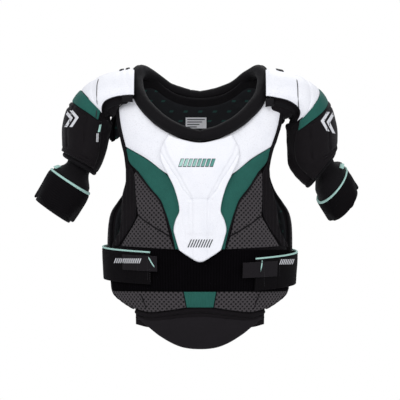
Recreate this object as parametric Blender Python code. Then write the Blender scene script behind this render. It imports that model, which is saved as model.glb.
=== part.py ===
"""Hockey shoulder pads: a padded chest and back joined by a neck roll, with shoulder
caps, bicep guards, elastic sleeves with cuffs, side straps and a belly flap.

The front faces -Y, X runs across the shoulders and +Z is up. The origin lies midway
between the shoulders, at the height where the pads hang on the wearer. Design sizes
are in millimetres, and every mesh and pivot is made in metres. Outlines are given for
the +X side, and side is +1 there and -1 on the other side.
"""

import math

import bmesh
import bpy
from mathutils import Vector

MILLIMETRE = 0.001
PITCH = 22.0  # spacing of the points across a sheet
CORE_PITCH = 29.0  # the same on the large sheets of the front and the back
SIDES = (("left", -1), ("right", 1))

# Torso form, outermost cloth surface: height, half width, front depth, back depth
TORSO_FORM = (
    (-465, 150, 98, 94),
    (-390, 166, 109, 100),
    (-345, 172, 114, 102),
    (-260, 176, 117, 103),
    (-205, 172, 118, 104),
    (-150, 166, 116, 104),
    (-110, 170, 112, 103),
    (-75, 178, 105, 100),
    (-35, 186, 94, 94),
    (0, 186, 82, 84),
    (40, 170, 66, 72),
    (75, 150, 50, 60),
)
GIRTH_RADIUS = 170.0  # turns an angle round the torso into millimetres of girth

# Arm forms: station, distance out, height, tilt of the section (degrees from
# horizontal), half thickness, half depth. Station 0 is at the neck, 12 at the cuff.
ARM_FORMS = {
    "left": (
        (0, 131.5, 4, 90, 54, 80),
        (1, 159, 4, 85, 47.5, 77),
        (2, 181, 0, 64, 42, 70),
        (3, 194, -15, 37, 43.5, 62),
        (4, 202.5, -33, 20, 46, 57),
        (5, 207.5, -55, 10, 47, 54),
        (6, 210, -77, 8, 44.5, 52),
        (7, 213.5, -97, 14, 42.5, 50),
        (8, 222, -117, 24, 41, 47),
        (9, 235, -140, 31, 38, 45),
        (10, 248, -163, 35, 41, 45),
        (11, 261, -185, 35, 40, 44),
        (12, 275, -207, 35, 38, 43),
    ),
    "right": (
        (0, 131.5, 4, 90, 54, 80),
        (1, 159, 4, 85, 47.5, 77),
        (2, 181, 0, 64, 42, 71),
        (3, 193, -14, 37, 44.5, 64),
        (4, 200, -33, 20, 47, 60),
        (5, 204, -55, 10, 49, 57),
        (6, 205, -78, 8, 49, 55),
        (7, 209, -100, 18, 47, 53),
        (8, 227, -122, 38, 42, 49),
        (9, 238, -140, 48, 37, 46),
        (10, 246, -159, 52, 38, 45),
        (11, 257, -177, 52, 38, 45),
        (12, 269, -195, 52, 36, 44),
    ),
}
ARM_PITCH = {"left": 2.0, "right": 16.0}  # how far the front of each arm dips, degrees
ARM_TURN = {"left": 0.0, "right": 12.0}  # how far each arm is turned inwards, degrees
FULL_TURN_STATION = 3.0  # the pitch and the turn grow from nothing at the neck to here

# Layers, as distances out from the torso or arm form
LINER = (-18.0, -15.4)
FOAM = (-13.3, -5.8)
COVER = (-4.0, 0.0)
BELLY_BAND = (-4.0, 0.5)
STERNUM_PLATE = (2.0, 8.0)
SPINE_GUARD = (1.5, 9.0)
STRAP = (3.0, 6.0)
STRAP_TAB = (7.2, 9.0)
FLAP = (-12.0, 0.0)
SHELL = (-3.0, 0.0)
CAP_INSERT = (-6.9, -4.7)
CAP_BASE = (-14.6, -8.2)
SHOULDER_PAD = (-23.0, -16.0)
ARM_BASE = (-13.0, -5.4)
SLEEVE = (-2.5, 0.0)
CUFF = (1.2, 4.2)
CUFF_STRAP = (5.4, 8.0)
WEBBING = (1.2, 3.4)
SLEEVE_LOOP = (1.9, 3.9)

# Neck roll, from the front centre to the back centre: across, depth, height, radius
NECK_ROLL = (
    (0, -105, -67, 9.0),
    (37, -101, -58, 11.0),
    (74, -88, -37, 11.8),
    (107, -62, -2, 12.0),
    (118, -22, 32, 11.8),
    (112, 14, 54, 11.5),
    (90, 50, 46, 10.8),
    (56, 74, 23, 10.2),
    (0, 84, 9, 10.5),
)

# How far the soft waist lies out of true on each side, most at one height
WAIST_PUSH = {-1: 6.0, 1: -5.0}
WAIST_HEIGHT = -130.0
WAIST_SPREAD = 62.0
WAIST_REACH = 140.0  # the distance across at which the push is whole

# Outlines: across, height
NECK_EDGE = ((0, -78.5), (40, -70.5), (83, -47.5), (102, -29.5), (118.5, -9.5), (126, 3))
SHOULDER_EDGE = ((126, 3), (154, -13))
FRONT_EDGE = (
    (123, -384),
    (148, -369),
    (165, -352),
    (170, -318),
    (166, -274),
    (149, -242),
    (145, -215),
    (140, -175),
    (131, -143),
    (131, -122),
    (137, -92),
    (146, -61),
    (154, -13),
)
FRONT_HEM = ((0, -382), (50, -386.5), (93, -391), (123, -384))
CHEST_BOTTOM = ((20, -152), (60, -137), (97, -109), (134, -87))
BAND_INNER = (
    (32, -275.5),
    (38, -240),
    (31, -202),
    (40, -172),
    (56, -144),
    (97, -110.6),
    (132, -89.2),
)
BAND_OUTER = (
    (46, -275.5),
    (55.5, -237),
    (65, -207),
    (74, -185),
    (92.5, -162),
    (114.5, -130),
    (127.5, -114.5),
    (132.6, -92),
)
SEAM_GAP = 1.4
CHANNEL = ((56, -251), (92.5, -229), (113.5, -213))
MESH_APEX = (115.5, -133.5)
MESH_UPPER_SIDE = ((116.8, -170), (117.6, -137))
MESH_LOWER_SIDE = (128.5, -241)
MESH_BOTTOM = ((48, -275.5), (146, -270))
SIDE_INNER = ((151, -269), (131, -240), (117.5, -211), (118.5, -170), (119.5, -136), (129, -118))
SIDE_OUTER = ((164, -271.5), (149, -242), (145, -215), (140, -175), (131, -143), (131.5, -121))
BAND_HEIGHTS = (-352.0, -277.0)
BAND_REACH = 162.0
INSERT_HALF_WIDTHS = (24.5, 30.0)
HEM_TOP = -353.6
HEM_BOTTOM = -382.5
HEM_REACH = 162.0
HEM_SIDE = (147, -369)
RIDGE = ((0, -388), (50, -393), (93, -398), (123, -390))
RIDGE_RADIUS = 4.2
RIDGE_STEPS = 16
FLAP_TOP = ((0, -394.5), (50, -399.5), (93, -404.5), (117, -398.5))
FLAP_BOTTOM = ((0, -460), (37, -455.5), (74, -437), (104, -412))
PLATE_TOP = ((0, -80.5), (40, -72.5), (57, -65))
PLATE_EDGE = (
    (38, -277),
    (44.5, -255),
    (48, -239),
    (44.5, -222),
    (37.5, -203),
    (46, -165),
    (60, -135),
    (70, -115),
    (73, -100),
    (70, -86),
    (57, -65),
)
PLATE_TIP = ((0, -299), (24, -287), (38, -277))
BACK_TOP = ((0, -3.5), (38, 1.5), (63, 12), (92, 31), (114, 28), (130, 8), (154, -12))
BACK_EDGE = (
    (120, -386),
    (146, -370),
    (163, -352),
    (169, -320),
    (172, -250),
    (168, -215),
    (155, -190),
    (143, -172),
    (132, -145),
    (130, -115),
)
BACK_WINGS = {
    "left": ((141, -76), (153, -61), (168, -74), (169, -45), (154, -12)),
    "right": ((134, -74), (149, -46), (160, -34), (154, -12)),
}
LINER_RISE = 3.0  # how much higher the back liner reaches, to meet the roll's inner side
BACK_HEM = ((0, -386), (120, -386))
SPINE_HALF_WIDTH = 26.0
SPINE_HEIGHTS = (-325.0, -55.0)

# Side straps: angle round the torso of the free and the sewn end, edges at each end
STRAP_ANGLES = {"left": (31.0, 108.0), "right": (35.0, 108.0)}
STRAP_TOPS = {"left": (-282.0, -270.0), "right": (-294.0, -278.0)}
STRAP_HEIGHT = 58.0
PIPING_WIDTH = 3.2
PIPING_GAP = 0.6
TAB_ANGLES = (26.0, 52.0)
TAB_DROP = 6.0
TAB_HEIGHT = 28.0
TAB_RISE = 3.0

# Caps and guards: station and angle round the arm, where 0 is the top or outer side
# and negative angles are to the front
CAP_FRONT = {
    "left": ((0, -84), (0.8, -88), (1.6, -95), (2.3, -105), (2.85, -113)),
    "right": ((0, -86), (0.8, -94), (1.6, -106), (2.3, -120), (2.85, -136)),
}
CAP_BACK = ((0, 92), (1.6, 98), (2.85, 108))
CAP_NECK_ANGLES = (-40, 0, 40)
CAP_SPLIT_STATION = 1.8
CAP_SPLIT_SPREAD = 1.05  # how many stations further down the split is at the front edge
BASE_SPLIT_SPREAD = 1.35  # the same for the guard's base, which is cut back further
CAP_SPLIT_ANGLE = 110.0  # the angle from which the split runs no further down
CAP_SPLIT_STEPS = 8
SPLIT_GAP = 0.14
# The black flange: its front edge, and how far it opens out beyond the shell's edge
FLANGE_EDGE = {
    "left": ((0, -100), (0.8, -115), (1.6, -134), (2.3, -150), (2.85, -162)),
    "right": ((0, -118), (0.8, -133), (1.6, -147), (2.3, -158), (2.85, -166)),
}
FLANGE_BACK = 6.0  # how far the base stands out at the back, degrees
FLARE = {"left": 7.0, "right": 15.0}
FLARE_ANGLES = (4.0, 24.0)  # beyond the shell's edge, where the flare starts and is full
FLARE_STATIONS = (3.0, 4.8)  # the flare fades out between these stations
LOW_FLARE = {"left": 0.0, "right": 12.0}  # how far the flange opens out again at its foot
LOW_FLARE_STATIONS = (6.0, 7.8)
LOW_FLARE_ANGLES = (134.0, 160.0)
CAP_INSERT_STATIONS = (0.5, 1.5)
CAP_INSERT_ANGLES = (-64.0, 64.0)
SHOULDER_PAD_STATIONS = (0.02, 1.3)
SHOULDER_PAD_ANGLES = (-80.0, 80.0)
STRIPE_STATIONS = (2.72, 3.46)
STRIPE_ANGLES = (-120.0, 112.0)
STRIPE_END_STATION = 2.98  # the stripe runs down a little at its ends
STRIPE_BEND = (2.86, 100.0)
STRIPE_GAP = 0.04
TOP_PANEL_ANGLES = (-86.0, 86.0)
TOP_PANEL_LEAST = 0.08
GUARD_TOP_STATION = 3.5
GUARD_LOW_STATIONS = {"left": (7.9, 7.5, 7.5), "right": (8.0, 7.1, 7.1)}
GUARD_FRONT_ANGLES = (-120.0, -131.0)
GUARD_BACK_ANGLE = 112.0
BASE_FRONT_ANGLES = {"left": (-162.0, -172.0), "right": (-166.0, -175.0)}
BASE_BACK_ANGLE = 124.0
BASE_LOW_STATIONS = {"left": (8.2, 7.8, 7.7), "right": (8.3, 7.3, 7.3)}
BASE_FULL_STATION = 5.0  # from here down the base's front edge keeps its angle
SLEEVE_STATIONS = (6.4, 11.95)
SLEEVE_TAPER = 17.0  # how much smaller the sleeve is inside the guard
SLEEVE_TAPER_STATIONS = (8.3, 9.3)
CUFF_STATIONS = {"left": (9.55, 11.7), "right": (10.0, 11.8)}
PIPING_STATIONS = 0.15
PIPING_SEAM = 0.03
CUFF_STRAP_ANGLES = (25.0, 110.0)
CUFF_STRAP_INSET = 0.3
LOOP_STATIONS = (8.85, 9.2)
LOOP_ANGLES = (-30.0, -8.0)
RING_SEGMENTS = 20
WEBBING_STATIONS = (0.06, 0.5)
FRONT_WEBBING = (-5.6, -3.4)
FRONT_WEBBING_ANGLES = {"left": (-101.0, -88.0), "right": (-117.0, -94.0)}
BACK_WEBBING_ANGLES = (14.0, 40.0)
ARM_LENGTHS = (22.0, 0.8)  # about how long a station and a degree are on an arm

# Joint pivots
CAP_PIVOT = (131.5, 0.0, 60.0)
FLAP_PIVOT = (0.0, -110.0, -393.0)

# Finishes: colour, roughness, metallic
FINISHES = {
    "white_shell": ((0.86, 0.86, 0.89), 0.45, 0.0),
    "green_panel": ((0.09, 0.31, 0.27), 0.50, 0.0),
    "mint_trim": ((0.60, 0.76, 0.72), 0.50, 0.0),
    "black_cloth": ((0.028, 0.026, 0.029), 0.80, 0.0),
    "grey_mesh": ((0.11, 0.10, 0.10), 0.75, 0.0),
    "dark_liner": ((0.014, 0.020, 0.026), 0.85, 0.0),
    "foam": ((0.10, 0.10, 0.11), 0.90, 0.0),
    "stiff_plastic": ((0.30, 0.31, 0.33), 0.40, 0.0),
    "elastic": ((0.035, 0.033, 0.037), 0.85, 0.0),
}


def clear_scene():
    for piece in list(bpy.data.objects):
        bpy.data.objects.remove(piece, do_unlink=True)


def make_finish(name):
    """The shared material of one finish, made the first time it is asked for."""
    material = bpy.data.materials.get(name)
    if material:
        return material
    colour, roughness, metallic = FINISHES[name]
    material = bpy.data.materials.new(name)
    material.use_nodes = True
    material.diffuse_color = (*colour, 1.0)
    shader = material.node_tree.nodes["Principled BSDF"]
    shader.inputs["Base Color"].default_value = (*colour, 1.0)
    shader.inputs["Roughness"].default_value = roughness
    shader.inputs["Metallic"].default_value = metallic
    return material


def smooth_row(rows, key):
    """The values at a key, on a smooth curve through rows sorted by their first value."""
    key = min(max(key, rows[0][0]), rows[-1][0])
    index = 0
    while index < len(rows) - 2 and key > rows[index + 1][0]:
        index += 1
    low, high = rows[index], rows[index + 1]
    before = rows[max(index - 1, 0)]
    after = rows[min(index + 2, len(rows) - 1)]
    width = high[0] - low[0]
    share = (key - low[0]) / width
    values = []
    for column in range(1, len(low)):
        leave = (high[column] - before[column]) / (high[0] - before[0]) * width
        arrive = (after[column] - low[column]) / (after[0] - low[0]) * width
        rise = high[column] - low[column]
        bend = 3 * rise - 2 * leave - arrive
        curl = leave + arrive - 2 * rise
        values.append(low[column] + share * (leave + share * (bend + share * curl)))
    return values


def measured(points, lengths=(1.0, 1.0)):
    """The points as rows, each led by the distance along them so far."""
    rows = [(0.0, *points[0])]
    for last, point in zip(points, points[1:]):
        steps = [(b - a) * length for a, b, length in zip(last, point, lengths)]
        rows.append((rows[-1][0] + math.hypot(*steps), *point))
    return rows


def mirrored(half):
    """A line across both sides, from its half that runs from the centre outwards."""
    return [(-x, z) for x, z in reversed(half[1:])] + list(half)


def torso_values(height):
    return smooth_row(TORSO_FORM, height)


def girth_of(across, height):
    """The way round the torso's form to a distance across it at a height."""
    return math.asin(across / torso_values(height)[0]) * GIRTH_RADIUS


def on_front(outline, side=1):
    """An outline of (across, height) as (girth, height) round the front."""
    spots = []
    for across, height in outline:
        across = across * side
        push = WAIST_PUSH[math.copysign(1, across)]
        push *= math.exp(-(((height - WAIST_HEIGHT) / WAIST_SPREAD) ** 2))
        across += push * (across / WAIST_REACH) ** 3
        spots.append((girth_of(across, height), height))
    return spots


def on_back(outline):
    return [(math.pi * GIRTH_RADIUS - girth_of(x, z), z) for x, z in outline]


def torso_place(spot, out):
    """The point in millimetres at a (girth, height) on the torso, so far out from it."""
    turn = spot[0] / GIRTH_RADIUS
    height = spot[1]
    deep = 1 if math.cos(turn) > 0 else 2
    values = torso_values(height)
    above = torso_values(height + 1)
    half, depth = values[0], values[deep]
    half_slope, depth_slope = above[0] - half, above[deep] - depth
    point = Vector((half * math.sin(turn), -depth * math.cos(turn), height))
    lean = half * depth_slope * math.cos(turn) ** 2 + depth * half_slope * math.sin(turn) ** 2
    normal = Vector((depth * math.sin(turn), -half * math.cos(turn), -lean))
    return point + normal.normalized() * out


def arm_frame(side_name, station):
    """The centre, outward, down-the-arm and front directions, and radii at a station."""
    out, height, tilt, thick, deep = smooth_row(ARM_FORMS[side_name], station)
    tilt = math.radians(tilt)
    grown = min(1.0, max(0.0, station) / FULL_TURN_STATION)
    pitch = math.radians(ARM_PITCH[side_name]) * grown
    outward = Vector((math.cos(tilt), 0, math.sin(tilt)))
    along = Vector((math.sin(tilt), 0, -math.cos(tilt)))
    front = Vector((0, -math.cos(pitch), 0)) + along * math.sin(pitch)
    turn = math.radians(ARM_TURN[side_name]) * grown
    return Vector((out, 0, height)), outward, along, front, thick, deep, turn


def arm_point(side_name, station, angle, out):
    """The point in millimetres at a station and angle (degrees) on an arm."""
    centre, outward, _, front, thick, deep, turn = arm_frame(side_name, station)
    angle = math.radians(angle) - turn * math.cos(math.radians(angle) / 2)
    across = outward * (thick + out) * math.cos(angle)
    point = centre + across - front * (deep + out) * math.sin(angle)
    if side_name == "left":
        point.x = -point.x
    return point


def arm_place(side_name):
    return lambda spot, out: arm_point(side_name, spot[0], spot[1], out)


def eased(value, start, stop):
    """A smooth step from 0 at the start to 1 at the stop."""
    share = min(1.0, max(0.0, (value - start) / (stop - start)))
    return share * share * (3 - 2 * share)


def flange_place(side_name):
    """The arm's surface, opened out beyond the front edge of the shell."""

    def place(spot, out):
        station, angle = spot
        edge = smooth_row(CAP_FRONT[side_name], station)[0]
        flare = FLARE[side_name] * eased(edge - angle, *FLARE_ANGLES)
        flare *= 1 - eased(station, *FLARE_STATIONS)
        low = eased(station, *LOW_FLARE_STATIONS) * eased(-angle, *LOW_FLARE_ANGLES)
        flare += LOW_FLARE[side_name] * low
        return arm_point(side_name, station, angle, out + flare)

    return place


def sleeve_place(side_name):
    """The arm's surface, drawn in where the sleeve passes under the guard."""

    def place(spot, out):
        drawn = SLEEVE_TAPER * (1 - eased(spot[0], *SLEEVE_TAPER_STATIONS))
        return arm_point(side_name, spot[0], spot[1], out - drawn)

    return place


def patch_spot(edges, across, up):
    """A spot inside four edges: bottom, top, left and right, as shares of each way."""
    bottom, top, left, right = (
        Vector(smooth_row(edge, share * edge[-1][0]))
        for edge, share in zip(edges, (across, across, up, up))
    )
    low_left, low_right = Vector(edges[0][0][1:]), Vector(edges[0][-1][1:])
    top_left, top_right = Vector(edges[1][0][1:]), Vector(edges[1][-1][1:])
    corners = (low_left * (1 - across) + low_right * across) * (1 - up)
    corners += (top_left * (1 - across) + top_right * across) * up
    return bottom * (1 - up) + top * up + left * (1 - across) + right * across - corners


def add_object(name, mesh, finish, pivot=None):
    """The finished bmesh as a smooth object, carried by its joint's empty if it moves."""
    bmesh.ops.recalc_face_normals(mesh, faces=mesh.faces[:])
    if mesh.calc_volume(signed=True) < 0:
        bmesh.ops.reverse_faces(mesh, faces=mesh.faces[:])
    data = bpy.data.meshes.new(name)
    mesh.to_mesh(data)
    mesh.free()
    data.shade_smooth()
    data.set_sharp_from_angle(angle=math.radians(40))
    data.materials.append(make_finish(finish))
    return link(name, data, pivot)


def place_of(pivot):
    """Where an unturned empty lies in the scene."""
    return pivot.location + (place_of(pivot.parent) if pivot.parent else Vector())


def link(name, data, pivot):
    """An object for the mesh or curve, whose own frame is the scene's."""
    piece = bpy.data.objects.new(name, data)
    bpy.context.scene.collection.objects.link(piece)
    if pivot:
        piece.parent = pivot
        piece.location = -place_of(pivot)
    return piece


def add_pivot(name, point, parent=None):
    """An empty on a joint's axis; the pieces that the joint moves are its children."""
    pivot = link(name, None, parent)
    pivot.location += Vector(point) * MILLIMETRE
    return pivot


def add_sheet(
    name, edges, place, layer, finish, pivot=None, pitch=PITCH, counts=None, lengths=(1.0, 1.0)
):
    """A closed sheet between four edges, wrapped on a form between two distances out."""
    edges = [measured(edge, lengths) for edge in edges]
    if not counts:
        wide = max(edges[0][-1][0], edges[1][-1][0])
        tall = max(edges[2][-1][0], edges[3][-1][0])
        counts = (max(1, round(wide / pitch)), max(1, round(tall / pitch)))
    mesh = bmesh.new()
    bmesh.ops.create_grid(mesh, x_segments=counts[0], y_segments=counts[1], size=1.0)
    grown = bmesh.ops.extrude_face_region(mesh, geom=mesh.faces[:])
    outer = [part for part in grown["geom"] if isinstance(part, bmesh.types.BMVert)]
    bmesh.ops.translate(mesh, verts=outer, vec=(0, 0, 1))
    for vert in mesh.verts:
        spot = patch_spot(edges, (vert.co.x + 1) / 2, (vert.co.y + 1) / 2)
        out = layer[0] + (layer[1] - layer[0]) * vert.co.z
        vert.co = place(spot, out) * MILLIMETRE
    return add_object(name, mesh, finish, pivot)


def add_ring(name, place, stations, layer, finish, pivot=None, rings=1):
    """A closed band right round an arm, between two stations and two distances out."""
    mesh = bmesh.new()
    bmesh.ops.create_cone(
        mesh, cap_ends=False, segments=RING_SEGMENTS, radius1=1.0, radius2=1.0, depth=1.0
    )
    for cut in range(1, rings):
        geometry = mesh.verts[:] + mesh.edges[:] + mesh.faces[:]
        at = (0, 0, cut / rings - 0.5)
        bmesh.ops.bisect_plane(mesh, geom=geometry, plane_co=at, plane_no=(0, 0, 1))
    grown = bmesh.ops.extrude_face_region(mesh, geom=mesh.faces[:])
    outer = [part for part in grown["geom"] if isinstance(part, bmesh.types.BMVert)]
    bmesh.ops.scale(mesh, verts=outer, vec=(2, 2, 1))
    for vert in mesh.verts:
        station = stations[0] + (stations[1] - stations[0]) * (vert.co.z + 0.5)
        angle = math.degrees(math.atan2(vert.co.y, vert.co.x))
        share = math.hypot(vert.co.x, vert.co.y) - 1
        out = layer[0] + (layer[1] - layer[0]) * share
        vert.co = place((station, angle), out) * MILLIMETRE
    return add_object(name, mesh, finish, pivot)


def add_tube(name, points, closed, finish, pivot=None):
    """A round tube along points in millimetres, each with its own radius at the end."""
    curve = bpy.data.curves.new(name, "CURVE")
    curve.dimensions = "3D"
    curve.bevel_depth = MILLIMETRE
    curve.bevel_resolution = 2
    curve.use_fill_caps = not closed
    spline = curve.splines.new("POLY")
    spline.points.add(len(points) - 1)
    spline.use_cyclic_u = closed
    for knot, (x, y, z, radius) in zip(spline.points, points):
        knot.co = (x * MILLIMETRE, y * MILLIMETRE, z * MILLIMETRE, 1)
        knot.radius = radius
    spline.use_smooth = True
    curve.materials.append(make_finish(finish))
    return link(name, curve, pivot)


def front_sheet(name, edges, layer, finish, side=1, **options):
    edges = [on_front(edge, side) for edge in edges]
    add_sheet(name, edges, torso_place, layer, finish, **options)


def make_front_core():
    """The liner and the foam, each one sheet across the whole front."""
    top = mirrored(NECK_EDGE + SHOULDER_EDGE[1:])
    left = [(-x, z) for x, z in FRONT_EDGE]
    edges = (mirrored(FRONT_HEM), top, left, FRONT_EDGE)
    front_sheet("front_liner", edges, LINER, "dark_liner", pitch=CORE_PITCH)
    front_sheet("front_foam", edges, FOAM, "foam", pitch=CORE_PITCH)


def make_chest(side_name, side):
    """The white chest panel and the green band below it."""
    top = ((20, -76.5),) + NECK_EDGE[1:] + SHOULDER_EDGE[1:]
    outer = ((134, -87), (145, -61), (154, -13))
    inner = ((20, -152), (20, -76.5))
    panel = (CHEST_BOTTOM, top, inner, outer)
    front_sheet("chest_panel_" + side_name, panel, COVER, "white_shell", side)
    start = (BAND_INNER[0], BAND_OUTER[0])
    stop = (BAND_INNER[-1], BAND_OUTER[-1])
    band = (start, stop, BAND_INNER, BAND_OUTER)
    front_sheet("chest_band_" + side_name, band, COVER, "green_panel", side)


def make_front_sides(side_name, side):
    """The mesh panels above and below the sewn channel, and the plain side strip."""
    inner = [(x + SEAM_GAP, z - SEAM_GAP) for x, z in BAND_OUTER[2:-3]]
    upper_inner = [CHANNEL[0]] + inner + [MESH_APEX]
    upper_outer = (CHANNEL[-1],) + MESH_UPPER_SIDE
    upper = (CHANNEL, (MESH_APEX, upper_outer[-1]), upper_inner, upper_outer)
    front_sheet("mesh_upper_" + side_name, upper, COVER, "grey_mesh", side)
    top = [(x, z - SEAM_GAP) for x, z in CHANNEL]
    lower_inner = (MESH_BOTTOM[0], top[0])
    lower_outer = (MESH_BOTTOM[1], MESH_LOWER_SIDE, top[-1])
    lower = (MESH_BOTTOM, top, lower_inner, lower_outer)
    front_sheet("mesh_lower_" + side_name, lower, COVER, "grey_mesh", side)
    start = (SIDE_INNER[0], SIDE_OUTER[0])
    stop = (SIDE_INNER[-1], SIDE_OUTER[-1])
    strip = (start, stop, SIDE_INNER, SIDE_OUTER)
    front_sheet("side_panel_" + side_name, strip, COVER, "black_cloth", side)


def make_belly():
    """The loop band that the straps fasten to, and the green insert below it."""
    low, high = BAND_HEIGHTS
    bottom = ((-BAND_REACH, low), (0, low), (BAND_REACH, low))
    top = ((-BAND_REACH, high), (0, high), (BAND_REACH, high))
    band = (bottom, top, (bottom[0], top[0]), (bottom[-1], top[-1]))
    front_sheet("belly_band", band, BELLY_BAND, "elastic")
    narrow, wide = INSERT_HALF_WIDTHS
    bottom = ((-narrow, HEM_BOTTOM), (narrow, HEM_BOTTOM))
    top = ((-wide, HEM_TOP), (wide, HEM_TOP))
    insert = (bottom, top, (bottom[0], top[0]), (bottom[1], top[1]))
    front_sheet("hem_insert", insert, COVER, "green_panel")


def make_hem_mesh(side_name, side):
    narrow, wide = INSERT_HALF_WIDTHS
    bottom = ((narrow + SEAM_GAP, HEM_BOTTOM),) + FRONT_HEM[1:]
    top = ((wide + SEAM_GAP, HEM_TOP), (HEM_REACH, HEM_TOP))
    outer = (FRONT_HEM[-1], HEM_SIDE, top[-1])
    hem = (bottom, top, (bottom[0], top[0]), outer)
    front_sheet("hem_mesh_" + side_name, hem, COVER, "grey_mesh", side)


def make_flap():
    """The rolled ridge below the hem and the padded flap that folds up from it."""
    ridge = []
    for girth, height in on_front(mirrored(RIDGE)):
        ridge.append((*torso_place((girth, height), -RIDGE_RADIUS), RIDGE_RADIUS))
    rows = measured(ridge)
    shares = [step / RIDGE_STEPS for step in range(RIDGE_STEPS + 1)]
    points = [smooth_row(rows, rows[-1][0] * share) for share in shares]
    add_tube("belly_flap_piping", points, False, "black_cloth")
    pivot = add_pivot("belly_flap_pivot", FLAP_PIVOT)
    bottom = mirrored(FLAP_BOTTOM)
    top = mirrored(FLAP_TOP)
    flap = (bottom, top, (bottom[0], top[0]), (bottom[-1], top[-1]))
    front_sheet("belly_flap", flap, FLAP, "black_cloth", pivot=pivot, counts=(12, 4))


def make_sternum_plate():
    left = [(-x, z) for x, z in PLATE_EDGE]
    edges = (mirrored(PLATE_TIP), mirrored(PLATE_TOP), left, PLATE_EDGE)
    front_sheet("sternum_plate", edges, STERNUM_PLATE, "white_shell", counts=(8, 14))


def make_neck_roll():
    """The padded roll round the neck, which joins the front to the back."""
    half = [Vector(row) for row in NECK_ROLL]
    other = [Vector((-x, y, z, r)) for x, y, z, r in NECK_ROLL[-2:0:-1]]
    loop = half + other
    points = []
    for index in range(len(loop)):
        a, b, c, d = (loop[(index + step) % len(loop)] for step in (-1, 0, 1, 2))
        for share in (0.0, 0.5):
            bend = (2 * a - 5 * b + 4 * c - d) * share**2
            curl = (3 * b - a - 3 * c + d) * share**3
            points.append(b + ((c - a) * share + bend + curl) / 2)
    add_tube("collar_roll", points, True, "black_cloth")


def make_back():
    """The liner, foam and cover of the back, with the ribbed guard down the spine."""
    left = [(-x, z) for x, z in BACK_EDGE + BACK_WINGS["left"]]
    right = BACK_EDGE + BACK_WINGS["right"]
    edges = (mirrored(BACK_HEM), mirrored(BACK_TOP), left, right)
    edges = [on_back(edge) for edge in edges]
    raised = [[(girth, z + LINER_RISE) for girth, z in edge] for edge in edges]
    add_sheet("back_liner", raised, torso_place, LINER, "dark_liner", pitch=CORE_PITCH)
    add_sheet("back_foam", edges, torso_place, FOAM, "foam", pitch=CORE_PITCH)
    add_sheet("back_cover", edges, torso_place, COVER, "grey_mesh", pitch=CORE_PITCH)
    low, high = SPINE_HEIGHTS
    half = SPINE_HALF_WIDTH
    bottom = ((-half, low), (half, low))
    top = ((-half, high), (half, high))
    spine = (bottom, top, (bottom[0], top[0]), (bottom[1], top[1]))
    spine = [on_back(edge) for edge in spine]
    add_sheet("spine_guard", spine, torso_place, SPINE_GUARD, "stiff_plastic")


def strap_girth(side, degrees):
    return side * math.radians(degrees) * GIRTH_RADIUS


def make_strap(side_name, side):
    """A wide elastic strap from the back, with a mint edge and a pull tab."""
    free, sewn = (strap_girth(side, angle) for angle in STRAP_ANGLES[side_name])
    free_top, sewn_top = STRAP_TOPS[side_name]
    hinge = torso_place((sewn, sewn_top - STRAP_HEIGHT / 2), STRAP[0])
    pivot = add_pivot("strap_pivot_" + side_name, hinge)
    top = ((free, free_top), (sewn, sewn_top))
    bottom = ((free, free_top - STRAP_HEIGHT), (sewn, sewn_top - STRAP_HEIGHT))
    strap = (bottom, top, (bottom[0], top[0]), (bottom[1], top[1]))
    carried = {"pivot": pivot, "counts": (11, 3)}
    add_sheet("torso_strap_" + side_name, strap, torso_place, STRAP, "elastic", **carried)
    low = [(girth, z + PIPING_GAP) for girth, z in top]
    high = [(girth, z + PIPING_WIDTH) for girth, z in low]
    edge = (low, high, (low[0], high[0]), (low[1], high[1]))
    carried["counts"] = (11, 1)
    add_sheet("strap_piping_" + side_name, edge, torso_place, STRAP, "mint_trim", **carried)
    near, far = (strap_girth(side, angle) for angle in TAB_ANGLES)
    top = ((near, free_top - TAB_DROP), (far, free_top - TAB_DROP + TAB_RISE))
    bottom = [(girth, z - TAB_HEIGHT) for girth, z in top]
    tab = (bottom, top, (bottom[0], top[0]), (bottom[1], top[1]))
    carried["counts"] = (4, 1)
    add_sheet("strap_tab_" + side_name, tab, torso_place, STRAP_TAB, "black_cloth", **carried)


def make_shoulder_pad(side_name):
    """The padding over the shoulder, inside the cap, that joins the front to the back."""
    pad = rectangle(SHOULDER_PAD_STATIONS, SHOULDER_PAD_ANGLES)
    add_arm_patch("shoulder_pad", side_name, pad, SHOULDER_PAD, "foam", None, (12, 2))


def split_line(front_angle, back_angle, further=0.0, most=CAP_SPLIT_SPREAD):
    """The line between the cap and the guard, lower at its ends than at the top."""
    full = 1 - math.cos(math.radians(CAP_SPLIT_ANGLE))
    line = []
    for step in range(CAP_SPLIT_STEPS + 1):
        angle = front_angle + (back_angle - front_angle) * step / CAP_SPLIT_STEPS
        share = (1 - math.cos(math.radians(min(abs(angle), CAP_SPLIT_ANGLE)))) / full
        line.append((CAP_SPLIT_STATION + further + most * share, angle))
    return line


def cap_edges(front, flange):
    """The cap's four edges from its front edge, grown at the back by the flange."""
    front = list(front)
    back = [(station, angle + flange) for station, angle in CAP_BACK]
    low = [front[0], *((0, angle) for angle in CAP_NECK_ANGLES), back[0]]
    high = split_line(front[-1][1], back[-1][1])
    front[-1], back[-1] = high[0], high[-1]
    return low, high, front, back


def add_arm_patch(name, side_name, edges, layer, finish, pivot, counts, place=None):
    name = f"{name}_{side_name}"
    place = place or arm_place(side_name)
    add_sheet(name, edges, place, layer, finish, pivot, counts=counts, lengths=ARM_LENGTHS)


def rectangle(stations, angles):
    """Four edges between two stations and two angles."""
    (start, stop), (near, far) = stations, angles
    low = ((start, near), (start, far))
    high = ((stop, near), (stop, far))
    return low, high, (low[0], high[0]), (low[1], high[1])


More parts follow.
